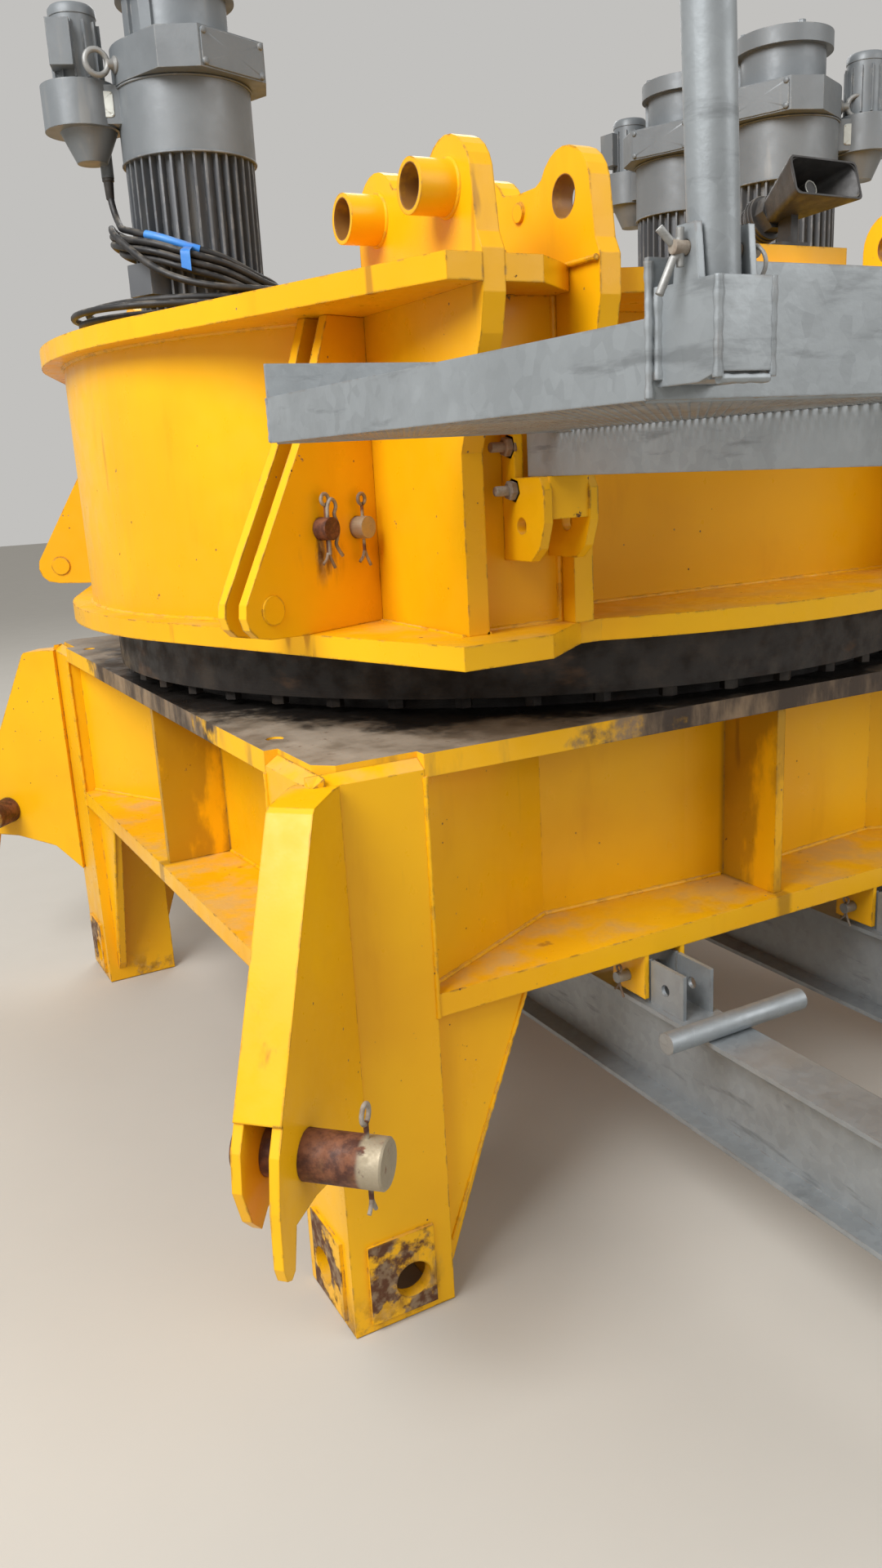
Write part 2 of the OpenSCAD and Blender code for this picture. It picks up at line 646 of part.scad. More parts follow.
base_plate();
base_flange();
base_web();
leg_fl();
leg_fr();
leg_bl();
leg_br();
climb_pin_fl();
climb_pin_fr();
climb_pin_bl();
climb_pin_br();
gear_ring();
rail_left();
rail_right();
rail_pins();
cross_bar();
outer_race();
deck_bottom();
deck_wall();
deck_tube();
deck_top_plate();
ear_fl();
ear_fr();
ear_bl();
ear_br();
side_lug_fl();
side_lug_bl();
side_lug_fr();
side_lug_br();
side_pins();
motor_left();
motor_near();
motor_far();
walk_bracket();
walk_arm();
walk_frame();
walk_mesh();
guard_post();
post_pin();
horn();
cable_lead();
cable_coil();
cable_tail();
cable_plug();
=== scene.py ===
"""Looks of the slewing unit: camera, cord, small pieces, materials and stage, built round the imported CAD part."""

import math

import bpy
import bmesh
import numpy as np
from mathutils import Matrix, Vector


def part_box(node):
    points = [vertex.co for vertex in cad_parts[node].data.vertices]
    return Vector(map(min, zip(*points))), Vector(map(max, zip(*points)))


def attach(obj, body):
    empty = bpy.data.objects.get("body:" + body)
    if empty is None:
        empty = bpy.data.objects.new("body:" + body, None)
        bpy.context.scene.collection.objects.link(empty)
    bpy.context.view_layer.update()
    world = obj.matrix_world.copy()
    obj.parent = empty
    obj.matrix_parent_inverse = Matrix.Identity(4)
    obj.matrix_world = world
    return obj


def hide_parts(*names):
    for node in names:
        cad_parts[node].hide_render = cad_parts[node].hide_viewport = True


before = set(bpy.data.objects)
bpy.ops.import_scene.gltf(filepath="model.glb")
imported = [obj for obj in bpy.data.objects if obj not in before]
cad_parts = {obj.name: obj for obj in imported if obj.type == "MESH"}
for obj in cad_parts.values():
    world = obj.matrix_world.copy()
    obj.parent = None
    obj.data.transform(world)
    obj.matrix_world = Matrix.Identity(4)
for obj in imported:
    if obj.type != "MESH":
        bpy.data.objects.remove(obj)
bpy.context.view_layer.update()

bl_info = {
    "name": "Slewing unit looks",
    "version": (1, 0, 0),
    "blender": (4, 5, 0),
    "location": "3D View > Sidebar > Slewing unit",
    "description": "Builds the pieces, materials and stage round the packed slewing unit",
    "category": "Object",
}

# the camera that was fitted to the photograph: place, and yaw, pitch down and roll
CAMERA_AT = (-1.64125, -2.63633, 1.48726)
CAMERA_TURN = (27.99, 15.29, -3.07)

# places repeated from the part's source, in metres and degrees
DECK_TOP = 1.772  # top face of the deck
DECK_LOW = 1.218  # upper side of the deck's lower flange
DECK_UP = 1.734  # underside of its upper flange
MAST = 1.0  # half the width of the mast
WALL_R = 1.055  # outer radius of the deck's wall
EAR_PINS = (1.010, 0.776)  # how far the ears' bores lie from the middle
EAR_Z = 1.872  # height of the ears' bores
EAR_X = (0.677, 0.515)  # outer faces of the two ear plates
CORNER_Y = 0.980  # straight end wall between the ears
MOTOR_R = 0.760  # from the slewing axis to the axis of a motor
# each motor: direction of its axis from the middle, of the flat face of its collar, and of its blower
MOTORS = ((180, 292, 160), (-14, 204, -28), (14, 204, 100))
COWL_TOP = 0.485  # underside of a motor's collar above the deck
LEG_FACE = 0.970  # side faces of a leg's inner plates
LOW_FLANGE = 0.612  # upper side of the support's lower flange
FOOT_BORE = (-0.883, -1.005, 0.075)  # mouth of a bore in the near foot
SIDE_AT = np.array([-0.685, -0.681])  # where the near side lug meets the wall
SIDE_DIR = math.atan2(-396, -918)  # direction in which that lug runs out
SIDE_PINS = ((0.182, 1.391), (0.090, 1.387))  # its pins: along the lug, and height
PIN_TURN = 225  # direction of the near climbing pin from the middle
PIN_OUT = 0.212  # climbing pin from the corner of the mast, outwards
PIN_Z = 0.512  # height of the climbing pins
RAIL_PINS = (0.306, 0.945, 0.510)  # a pin that holds a rail
POST_PIN = (-1.052, -1.932, 1.626)  # left end of the pin through the guard post
HORN_AT = (-0.070, -1.057, 1.884)
HORN_TURN = (-16, 0, 3)
SOCKET = (-1.047, -1.901, 1.539)  # lower left edge of the post's socket, on the tray's side
SOCKET_TOP = 1.604  # top of that edge

# route of the cable where it isn't coiled: from the gland to the winding, and from the heap to the plug
LEAD = np.array([[-916, 83, 2105], [-916, 83, 2084], [-916, 82, 2063], [-913, 77, 2040], [-912, 64, 2021],
                 [-913, 47, 2010.2]]) / 1000
TAIL = np.array([[-659, 300, 1785.5], [-680, 324, 1780], [-702, 352, 1779.5], [-726, 378, 1779.5],
                 [-752, 402, 1781], [-776, 423.5, 1788], [-797, 439.3, 1796], [-810, 448.7, 1798],
                 [-824, 458.9, 1798]]) / 1000

# the cable's winding round the motor and its heap on the deck
COIL_LEAN = 19.5  # tilt of the winding
COIL_DIP = 152  # direction of its highest side
COIL_Z = 1.9173  # height of its middle
COIL_START = 178  # direction in which the first turn starts
COIL_TURNS = 6.0
COIL_INNER = 0.1590  # radius of the inner layer
COIL_STEP = 0.0165  # from the inner layer to the outer one
COIL_OUTER = 0.1755
COIL_HALF = 0.0237  # half the height of a layer
COIL_PITCH = 0.0158  # from one turn of a layer to the next
DROP_TURN = 104  # how far round the motor the cable drops to the heap
HEAP_TOP = 1.8445  # height of the heap's first loop
HEAP_LOW = 1.7797  # height of its last loop, on the deck
HEAP_PITCH = 0.0147
HEAP_R = 0.253
HEAP_END_R = 0.3155  # radius at which the tail leaves the heap
HEAP_END = 71.7  # and direction in which it does

TAPE_AT = np.array([-0.865, -0.142, 1.955])  # the strand with the tape passes near here

# colours of dirt, and of grease with painted shade, that several finishes share
DUST = (0.50, 0.36, 0.19)
RUST_RUN = (0.22, 0.08, 0.02)
RUST_DEEP = (0.10, 0.038, 0.016)
PRIMER = (0.25, 0.17, 0.10)
BORE_WEAR = (0.20, 0.085, 0.03)
GREASE_AND_SHADE = (0.075, 0.036, 0.012)
SCALE = (0.30, 0.14, 0.05)


# mesh tools: every surface is a grid of points worked out as one array

def grid(points, wrap_u=False, wrap_v=False, cap=False):
    """Vertices and faces of a grid of points P(u, v): faces join neighbours, wrap where asked, and cap both ends."""
    p = np.asarray(points, float)
    nu, nv = p.shape[:2]
    index = np.arange(nu * nv).reshape(nu, nv)
    a = np.vstack([index, index[:1]]) if wrap_u else index
    a = np.hstack([a, a[:, :1]]) if wrap_v else a
    quads = np.stack([a[:-1, :-1], a[1:, :-1], a[1:, 1:], a[:-1, 1:]], -1).reshape(-1, 4)
    verts = p.reshape(-1, 3)
    tris = np.zeros((0, 3), int)
    if cap:
        mids = np.stack([p[0].mean(0), p[-1].mean(0)])
        n = len(verts)
        verts = np.vstack([verts, mids])
        first, last = index[0], index[-1]
        tris = np.vstack([np.stack([first, np.roll(first, -1), np.full(nv, n)], -1),
                          np.stack([np.roll(last, -1), last, np.full(nv, n + 1)], -1)])
    return verts, quads, tris


def lathe(profile, count=24):
    """Surface of revolution about Z: radius and height of the profile, turned through a full circle."""
    q = np.asarray(profile, float)
    a = np.linspace(0, 2 * math.pi, count, endpoint=False)
    p = np.stack([q[:, :1] * np.cos(a), q[:, :1] * np.sin(a), np.repeat(q[:, 1:], count, 1)], -1)
    return grid(p, wrap_v=True, cap=True)


def frames(path, side=None):
    """Unit tangent, normal and binormal along a path; the normal stays near one fixed direction."""
    t = np.gradient(path, axis=0)
    t /= np.linalg.norm(t, axis=1, keepdims=True)
    if side is None:
        mean = np.abs(t).mean(0)
        side = np.eye(3)[int(np.argmin(mean))]
    b = np.cross(t, np.asarray(side, float))
    b /= np.linalg.norm(b, axis=1, keepdims=True)
    return t, np.cross(b, t), b


def tube(path, radius, count=10, side=None):
    """Round bar along a path: centre plus radius times (cos v normal + sin v binormal)."""
    path = np.asarray(path, float)
    _, n, b = frames(path, side)
    v = np.linspace(0, 2 * math.pi, count, endpoint=False)[None, :, None]
    r = np.broadcast_to(np.asarray(radius, float), (len(path),))[:, None, None]
    return grid(path[:, None] + r * (np.cos(v) * n[:, None] + np.sin(v) * b[:, None]), wrap_v=True, cap=True)


def ring(radius, thick, count=28, round_count=10):
    """Torus about Z: a circle of the given thickness carried round a circle."""
    u = np.linspace(0, 2 * math.pi, count, endpoint=False)[:, None]
    v = np.linspace(0, 2 * math.pi, round_count, endpoint=False)[None]
    r = radius + thick * np.cos(v)
    p = np.stack([r * np.cos(u), r * np.sin(u), thick * np.sin(v) + 0 * u], -1)
    return grid(p, wrap_u=True, wrap_v=True)


def smooth_path(points, step):
    """Catmull-Rom curve: cubics whose slope at each given point is half the chord between its neighbours."""
    p = np.asarray(points, float)
    p = np.vstack([2 * p[0] - p[1], p, 2 * p[-1] - p[-2]])
    out = []
    for i in range(1, len(p) - 2):
        n = max(2, int(np.linalg.norm(p[i + 1] - p[i]) / step))
        t = np.linspace(0, 1, n, endpoint=False)[:, None]
        a, b, c, d = p[i - 1:i + 3]
        out.append(0.5 * (2 * b + (c - a) * t + (2 * a - 5 * b + 4 * c - d) * t ** 2
                          + (3 * b - 3 * c + d - a) * t ** 3))
    out.append(p[-2][None])
    return np.vstack(out)


def move(part, at):
    """Moves a made surface."""
    return part[0] + np.asarray(at, float), part[1], part[2]


def place(part, at, x=(1, 0, 0), z=(0, 0, 1)):
    """Moves a made surface so that its own X and Z axes point along the given ones."""
    z = np.asarray(z, float) / np.linalg.norm(z)
    y = np.cross(z, np.asarray(x, float))
    y /= np.linalg.norm(y)
    m = np.stack([np.cross(y, z), y, z])
    return part[0] @ m + np.asarray(at, float), part[1], part[2]


def turned(part, degrees):
    """Turns a made surface about Z."""
    a = math.radians(degrees)
    m = np.array([[math.cos(a), math.sin(a), 0], [-math.sin(a), math.cos(a), 0], [0, 0, 1]])
    return part[0] @ m, part[1], part[2]


def heading(degrees):
    """Level unit vector in a direction, and the one a quarter turn to its left."""
    a = math.radians(degrees)
    return np.array([math.cos(a), math.sin(a), 0]), np.array([-math.sin(a), math.cos(a), 0])


def smooth_step(x):
    """Rises from 0 to 1 as 3 x squared minus 2 x cubed, and stays level outside."""
    x = np.clip(x, 0, 1)
    return x * x * (3 - 2 * x)


def make(name, parts, body, material, smooth=True):
    """One object from several made surfaces, with its faces turned outwards, that rides on a body."""
    verts, faces, n = [], [], 0
    for v, quads, tris in parts:
        verts.append(v)
        faces += (quads + n).tolist() + (tris + n).tolist()
        n += len(v)
    if not verts:
        raise RuntimeError(name + " has no surface")
    mesh = bpy.data.meshes.new(name)
    mesh.from_pydata(np.vstack(verts).tolist(), [], faces)
    bm = bmesh.new()
    bm.from_mesh(mesh)
    bmesh.ops.recalc_face_normals(bm, faces=bm.faces)
    bm.to_mesh(mesh)
    bm.free()
    mesh.polygons.foreach_set("use_smooth", [smooth] * len(mesh.polygons))
    if smooth:
        mesh.set_sharp_from_angle(angle=math.radians(38))
    mesh.materials.append(bpy.data.materials[material])
    piece = bpy.data.objects.new(name, mesh)
    bpy.context.scene.collection.objects.link(piece)
    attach(piece, body)
    return piece


# material tools

class Nodes:
    """Small helper that adds nodes to a material and joins them."""

    def __init__(self, name):
        self.mat = bpy.data.materials.new(name)
        self.mat.use_nodes = True
        self.tree = self.mat.node_tree
        self.tree.nodes.clear()
        self.out = self.add("ShaderNodeOutputMaterial")
        self.bsdf = self.add("ShaderNodeBsdfPrincipled")
        self.tree.links.new(self.bsdf.outputs[0], self.out.inputs[0])
        self.at = self.add("ShaderNodeTexCoord").outputs["Object"]

    def add(self, kind, **settings):
        node = self.tree.nodes.new(kind)
        for key, value in settings.items():
            setattr(node, key, value)
        return node

    def put(self, value, socket):
        if isinstance(value, bpy.types.NodeSocket):
            self.tree.links.new(value, socket)
        else:
            socket.default_value = value

    def stretch(self, scale):
        node = self.add("ShaderNodeVectorMath", operation="MULTIPLY")
        self.put(self.at, node.inputs[0])
        node.inputs[1].default_value = scale
        return node.outputs[0]

    def noise(self, scale, detail=4.0, rough=0.55, vector=None, warp=0.0):
        node = self.add("ShaderNodeTexNoise")
        self.put(vector or self.at, node.inputs["Vector"])
        node.inputs["Scale"].default_value = scale
        node.inputs["Detail"].default_value = detail
        node.inputs["Roughness"].default_value = rough
        node.inputs["Distortion"].default_value = warp
        return node.outputs["Fac"]

    def cells(self, scale, feature="F1", out="Distance", vector=None):
        node = self.add("ShaderNodeTexVoronoi", feature=feature)
        self.put(vector or self.at, node.inputs["Vector"])
        node.inputs["Scale"].default_value = scale
        return node.outputs[out]

    def math(self, kind, a, b=0.5, clamp=False):
        node = self.add("ShaderNodeMath", operation=kind, use_clamp=clamp)
        self.put(a, node.inputs[0])
        self.put(b, node.inputs[1])
        return node.outputs[0]

    def span(self, value, low, high, to_low=0.0, to_high=1.0):
        node = self.add("ShaderNodeMapRange", interpolation_type="SMOOTHSTEP")
        self.put(value, node.inputs["Value"])
        for key, x in (("From Min", low), ("From Max", high), ("To Min", to_low), ("To Max", to_high)):
            node.inputs[key].default_value = x
        return node.outputs["Result"]

    def mix(self, factor, a, b):
        node = self.add("ShaderNodeMix", data_type="RGBA")
        self.put(factor, node.inputs[0])
        for value, socket in ((a, node.inputs[6]), (b, node.inputs[7])):
            self.put(value if isinstance(value, bpy.types.NodeSocket) else (*value, 1.0), socket)
        return node.outputs[2]

    def axis(self, which, vector=None):
        node = self.add("ShaderNodeSeparateXYZ")
        self.put(vector or self.at, node.inputs[0])
        return node.outputs[which]

    def upward(self):
        return self.axis(2, self.add("ShaderNodeNewGeometry").outputs["Normal"])

    def near(self, point, radius, soft):
        node = self.add("ShaderNodeVectorMath", operation="DISTANCE")
        self.put(self.at, node.inputs[0])
        node.inputs[1].default_value = point
        return self.span(node.outputs["Value"], radius + soft, radius - soft)

    def flat_radius(self):
        x, y = self.axis(0), self.axis(1)
        return self.math("SQRT", self.math("ADD", self.math("MULTIPLY", x, x), self.math("MULTIPLY", y, y)))

    def finish(self, color, rough, bump, strength=0.4, distance=0.001, metal=0.0, edge=0.0):
        self.put(color, self.bsdf.inputs["Base Color"])
        self.put(rough, self.bsdf.inputs["Roughness"])
        self.put(metal, self.bsdf.inputs["Metallic"])
        node = self.add("ShaderNodeBump")
        node.inputs["Strength"].default_value = strength
        node.inputs["Distance"].default_value = distance
        self.put(bump, node.inputs["Height"])
        if edge:
            bevel = self.add("ShaderNodeBevel", samples=3)
            bevel.inputs["Radius"].default_value = edge
            self.put(bevel.outputs[0], node.inputs["Normal"])
        self.put(node.outputs[0], self.bsdf.inputs["Normal"])
        return self.mat


def edge_wear(n, radius, low=0.02, high=0.16):
    """Mask of worn edges: how far the rounded normal turns away from the flat one, broken up by noise."""
    bevel = n.add("ShaderNodeBevel", samples=3)
    bevel.inputs["Radius"].default_value = radius
    dot = n.add("ShaderNodeVectorMath", operation="DOT_PRODUCT")
    n.put(bevel.outputs[0], dot.inputs[0])
    n.put(n.add("ShaderNodeNewGeometry").outputs["Normal"], dot.inputs[1])
    bent = n.math("SUBTRACT", 1.0, dot.outputs["Value"])
    return n.math("MULTIPLY", n.span(bent, low, high), n.span(n.noise(26, 5, 0.6), 0.50, 0.60))


def pad_marks(n, x, y, z):
    """Mask of a foot: bare patches on the outer faces of its pads, and dirt that thins out upwards."""
    far = n.math("MAXIMUM", n.math("ABSOLUTE", x), n.math("ABSOLUTE", y))
    worn = n.math("MULTIPLY", n.span(far, 1.0045, 1.0062), n.span(z, 0.19, 0.17))
    worn = n.math("MULTIPLY", worn, n.span(n.noise(11, 6, 0.6), 0.44, 0.52))
    low = n.math("MULTIPLY", n.span(z, 0.10, 0.0), n.span(n.noise(8, 6, 0.65), 0.50, 0.60))
    return n.math("MAXIMUM", worn, n.math("MULTIPLY", low, 0.7))


def bore_wear(n, y, z, across, height):
    """Mask of the inside of the bores that run along X: nearer to their axis than the bore's radius, and patchy."""
    aside = n.math("SUBTRACT", n.math("ABSOLUTE", y), across)
    above = n.math("SUBTRACT", z, height)
    reach = n.math("SQRT", n.math("ADD", n.math("MULTIPLY", aside, aside), n.math("MULTIPLY", above, above)))
    return n.math("MULTIPLY", n.span(reach, 0.0322, 0.0308), n.span(n.noise(24, 4), 0.25, 0.5, 0.45, 0.9))


def painted(name, base, warm, spots=(), bores=(), pads=False, stiffener_grease_and_shade=False, dust=0.55):
    """Worn paint: two tones, streaks of painted shade, dust on top faces, chips to rust, rust runs, scraped edges, peel
    in the bump.
    """
    n = Nodes(name)
    tone = n.mix(n.span(n.noise(2.1, 4), 0.35, 0.7), base, warm)
    # painted shade: vertical streaky clouds of the base colour, darkened to its hue in shade
    shade_clouds = n.span(n.noise(9, 6, 0.62, n.stretch((1, 1, 0.22))), 0.56, 0.76)
    tone = n.mix(n.math("MULTIPLY", shade_clouds, 0.30), tone, tuple(c * f for c, f in zip(base, (0.74, 0.60, 0.5))))
    up = n.span(n.upward(), 0.55, 0.95)
    dirt = n.math("MULTIPLY", up, n.span(n.noise(7.5, 7, 0.62), 0.42, 0.66, 0.0, dust))
    tone = n.mix(dirt, tone, DUST)
    chip = n.span(n.noise(17, 8, 0.66), 0.695, 0.715)
    speck = n.math("MULTIPLY", n.span(n.cells(31), 0.075, 0.05), n.span(n.noise(3.3, 3), 0.52, 0.60))
    run = n.math("MULTIPLY", n.span(n.noise(16, 4, 0.5, n.stretch((1, 1, 0.10))), 0.665, 0.74),
                 n.span(n.noise(1.9, 2), 0.5, 0.6, 0.0, 0.55))
    wear = edge_wear(n, 0.006)
    mark = n.math("MAXIMUM", n.math("MAXIMUM", chip, speck), wear)
    for point, radius, soft in spots:
        near = n.near(point, radius, soft)
        streak = n.span(n.noise(30, 6, 0.6, n.stretch((1, 1, 0.25))), 0.48, 0.66)
        mark = n.math("MAXIMUM", mark, n.math("MULTIPLY", near, streak))
    x, y, z = n.axis(0), n.axis(1), n.axis(2)
    for across, height in bores:
        tone = n.mix(bore_wear(n, y, z, across, height), tone, BORE_WEAR)
    if pads:
        mark = n.math("MAXIMUM", mark, pad_marks(n, x, y, z))
    tone = n.mix(run, tone, RUST_RUN)
    rust = n.mix(n.span(n.noise(55, 5), 0.4, 0.65), RUST_DEEP, PRIMER)
    tone = n.mix(mark, tone, rust)
    # dark bands on the stiffeners in the middle of each side: partly grease, partly painted shade on the stiffeners'
    # faces
    if stiffener_grease_and_shade:
        middle = n.math("MINIMUM", n.math("ABSOLUTE", x), n.math("ABSOLUTE", y))
        grease = n.math("MULTIPLY", n.span(middle, 0.026, 0.010),
                        n.span(n.noise(9, 5, 0.6, n.stretch((1, 1, 0.4))), 0.36, 0.52))
        tone = n.mix(n.math("MULTIPLY", grease, 0.50), tone, GREASE_AND_SHADE)
    rough = n.math("ADD", n.span(n.noise(22, 4), 0.3, 0.7, 0.27, 0.42),
                   n.math("MULTIPLY", n.math("MAXIMUM", dirt, mark), 0.4), True)
    peel = n.math("ADD", n.math("MULTIPLY", n.noise(210, 2), 0.22), n.math("MULTIPLY", n.noise(11, 3), 0.75))
    bump = n.math("SUBTRACT", peel, n.math("MULTIPLY", mark, 0.5))
    n.bsdf.inputs["Specular IOR Level"].default_value = 0.32
    return n.finish(tone, rough, bump, 0.35, 0.0012, 0.0, 0.0035)


def galvanised(name, tint, dull):
    """Hot-dip zinc: crystal spangle, pale runs, dull oxide, dirt in patches, small beads in the bump."""
    n = Nodes(name)
    spangle = n.cells(65, "F1", "Color")
    tone = n.mix(n.math("MULTIPLY", n.axis(0, spangle), 0.35), tint, dull)
    tone = n.mix(n.span(n.noise(5, 6, 0.6), 0.42, 0.7, 0.0, 0.55), tone, tuple(c * 1.25 for c in tint))
    streak = n.span(n.noise(14, 5, 0.6, n.stretch((0.5, 0.5, 3.0))), 0.58, 0.72, 0.0, 0.5)
    tone = n.mix(streak, tone, tuple(c * 0.62 for c in dull))
    spot = n.math("MAXIMUM", n.span(n.noise(23, 8, 0.7), 0.70, 0.74), n.math("MULTIPLY", edge_wear(n, 0.004), 0.6))
    tone = n.mix(n.math("MULTIPLY", spot, 0.8), tone, (0.16, 0.10, 0.06))
    rough = n.math("ADD", n.span(n.noise(9, 5), 0.3, 0.7, 0.34, 0.52),
                   n.math("MULTIPLY", n.axis(1, spangle), 0.08), True)
    bump = n.math("ADD", n.math("MULTIPLY", n.noise(120, 3), 0.35),
                  n.math("MULTIPLY", n.noise(14, 4, 0.55, n.stretch((1, 1, 0.5))), 0.8))
    return n.finish(tone, rough, bump, 0.45, 0.0016, 0.55, 0.002)


def rusted(name, base, light, ends=(), bright=(0.42, 0.36, 0.26)):
    """Rusted bar: dark and light scale, pits, rolled streaks; the ends that are named are bare and bright."""
    n = Nodes(name)
    tone = n.mix(n.span(n.noise(34, 7, 0.65), 0.38, 0.64), base, light)
    tone = n.mix(n.span(n.noise(9, 4), 0.55, 0.68, 0.0, 0.6), tone, SCALE)
    metal, clean = 0.15, None
    for point, radius in ends:
        here = n.near(point, radius, 0.004)
        clean = here if clean is None else n.math("MAXIMUM", clean, here)
    if clean is not None:
        clean = n.math("MULTIPLY", clean, n.span(n.noise(40, 5, 0.6), 0.70, 0.58))
        tone = n.mix(clean, tone, bright)
        metal = n.math("MULTIPLY", clean, 0.7)
    rough = n.span(n.noise(48, 5), 0.3, 0.7, 0.55, 0.86)
    bump = n.math("ADD", n.noise(95, 6, 0.7), n.math("MULTIPLY", n.noise(20, 3), 0.6))
    return n.finish(tone, rough, bump, 0.6, 0.0014, metal, 0.002)


def greased(name, base, dust):
    """Machined steel under old grease: near black, shiny smears, dust stuck to it, fine turning lines."""
    n = Nodes(name)
    tone = n.mix(n.span(n.noise(13, 7, 0.62), 0.45, 0.70), base, dust)
    stain = n.span(n.noise(4.0, 5, 0.6, n.stretch((1, 1, 2.4))), 0.60, 0.72, 0.0, 0.6)
    tone = n.mix(stain, tone, (0.10, 0.048, 0.018))
    rough = n.span(n.noise(18, 5), 0.35, 0.68, 0.40, 0.80)
    bump = n.math("ADD", n.math("MULTIPLY", n.noise(60, 6, 0.65), 0.6),
                  n.math("MULTIPLY", n.noise(40, 2, 0.5, n.stretch((0.3, 0.3, 9))), 0.4))
    return n.finish(tone, rough, bump, 0.5, 0.0016, 0.15, 0.002)


def bare_plate(name, yellow):
    """Plate of the support: grey-beige steel, black grease towards the ring, edges painted but greasy in mid-side."""
    n = Nodes(name)
    r = n.math("ADD", n.flat_radius(), n.span(n.noise(6.5, 7, 0.62), 0.2, 0.8, -0.10, 0.10))
    tone = n.mix(n.span(n.noise(10, 8, 0.64), 0.40, 0.66), (0.165, 0.130, 0.092), (0.28, 0.235, 0.18))
    tone = n.mix(n.span(n.noise(3.0, 5, 0.6), 0.50, 0.66, 0.0, 0.75), tone, (0.37, 0.315, 0.25))
    tone = n.mix(n.span(n.noise(45, 6, 0.7), 0.60, 0.70, 0.0, 0.7), tone, (0.10, 0.055, 0.03))
    grease = n.span(r, 1.13, 1.03)
    tone = n.mix(grease, tone, (0.016, 0.013, 0.011))
    up = n.span(n.upward(), 0.3, 0.7)
    side = n.math("SUBTRACT", 1.0, up)
    soil = n.mix(n.span(n.noise(9, 6, 0.62, n.stretch((1, 1, 0.3))), 0.42, 0.62), (0.045, 0.028, 0.018), PRIMER)
    stain = n.math("MULTIPLY", n.span(n.noise(12, 5, 0.6, n.stretch((1, 1, 0.2))), 0.50, 0.66), 0.45)
    edge = n.mix(n.span(r, 1.085, 1.15), soil, n.mix(stain, yellow, (0.20, 0.11, 0.04)))
    tone = n.mix(side, tone, edge)
    rough = n.math("SUBTRACT", n.span(n.noise(20, 4), 0.3, 0.7, 0.62, 0.9), n.math("MULTIPLY", grease, 0.35))
    bump = n.math("ADD", n.noise(34, 7, 0.66), n.math("MULTIPLY", n.noise(6, 3), 0.6))
    return n.finish(tone, rough, bump, 0.4, 0.0016, 0.1, 0.003)


def enamel(name, light, dark):
    """Motor enamel: blue-grey, painted shade on the lower part round the fins, dust on ledges, chipped edges, cast
    bump.
    """
    n = Nodes(name)
    z = n.axis(2)
    # painted shade: below the collar, round the fins, the motor takes the darker fin colour
    tone = n.mix(n.span(z, 2.13, 2.09), light, dark)
    tone = n.mix(n.span(n.noise(6, 5, 0.6), 0.45, 0.7, 0.0, 0.45), tone, tuple(c * 0.72 for c in light))
    dusty = n.math("MULTIPLY", n.span(n.upward(), 0.5, 0.9), n.span(n.noise(12, 6), 0.4, 0.6, 0.1, 0.65))
    tone = n.mix(dusty, tone, (0.33, 0.29, 0.23))
    run = n.span(n.noise(20, 4, 0.5, n.stretch((1, 1, 0.12))), 0.60, 0.72, 0.0, 0.4)
    tone = n.mix(run, tone, (0.28, 0.27, 0.25))
    wear = n.math("MAXIMUM", edge_wear(n, 0.004), n.span(n.noise(42, 6, 0.7), 0.735, 0.76))
    tone = n.mix(n.math("MULTIPLY", wear, 0.75), tone, (0.36, 0.35, 0.33))
    rough = n.math("ADD", n.span(n.noise(25, 4), 0.3, 0.7, 0.36, 0.52), n.math("MULTIPLY", dusty, 0.35), True)
    bump = n.math("ADD", n.math("MULTIPLY", n.noise(150, 3), 0.4), n.math("MULTIPLY", n.noise(26, 3), 0.4))
    return n.finish(tone, rough, bump, 0.35, 0.001, 0.15, 0.0022)


def dull_plastic(name, base, dusty):
    """Weathered plastic or rubber: dark, with dust in patches, scuffs and a fine grain."""
    n = Nodes(name)
    tone = n.mix(n.span(n.noise(16, 6, 0.62), 0.44, 0.70, 0.0, 0.7), base, dusty)
    film = n.math("MULTIPLY", n.span(n.upward(), 0.2, 0.9), n.span(n.noise(28, 5), 0.42, 0.62, 0.0, 0.55))
    tone = n.mix(film, tone, (0.22, 0.19, 0.15))
    rough = n.math("ADD", n.span(n.noise(33, 4), 0.3, 0.7, 0.42, 0.64), n.math("MULTIPLY", film, 0.3), True)
    bump = n.math("ADD", n.noise(240, 3), n.math("MULTIPLY", n.noise(30, 4), 0.5))
    return n.finish(tone, rough, bump, 0.3, 0.0006, 0.0, 0.0012)


# finish of each CAD node, by the start of its name
LOOKS = (("base_plate", "bare_plate"), ("base_", "web_paint"), ("leg_", "leg_paint"), ("climb_pin", "climb_rust"),
         ("side_pins", "side_rust"), ("gear_ring", "ring_grease"), ("outer_race", "ring_grease"), ("rail", "zinc"),
         ("cross_bar", "zinc"), ("deck_", "deck_paint"), ("side_lug", "deck_paint"), ("ear_", "deck_paint"),
         ("motor", "motor_enamel"), ("cable", "cable_rubber"), ("horn", "horn_plastic"),
         ("walk_bracket", "plain_paint"), ("walk_", "zinc"), ("guard_post", "post_zinc"), ("post_pin", "clip_steel"))


def around(point):
    """The same point at the four corners, by quarter turns."""
    x, y, z = point
    return [(x, y, z), (-y, x, z), (-x, -y, z), (y, -x, z)]


def mirrored(p):
    """The same point at the four corners, mirrored left to right and front to back."""
    return [(sx * p[0], sy * p[1], p[2]) for sx in (1, -1) for sy in (1, -1)]


def side_point(u, y, z):
    """A point in the slanted frame of the front left side lug."""
    c, s = math.cos(SIDE_DIR), math.sin(SIDE_DIR)
    return (SIDE_AT[0] + u * c - y * s, SIDE_AT[1] + u * s + y * c, z)


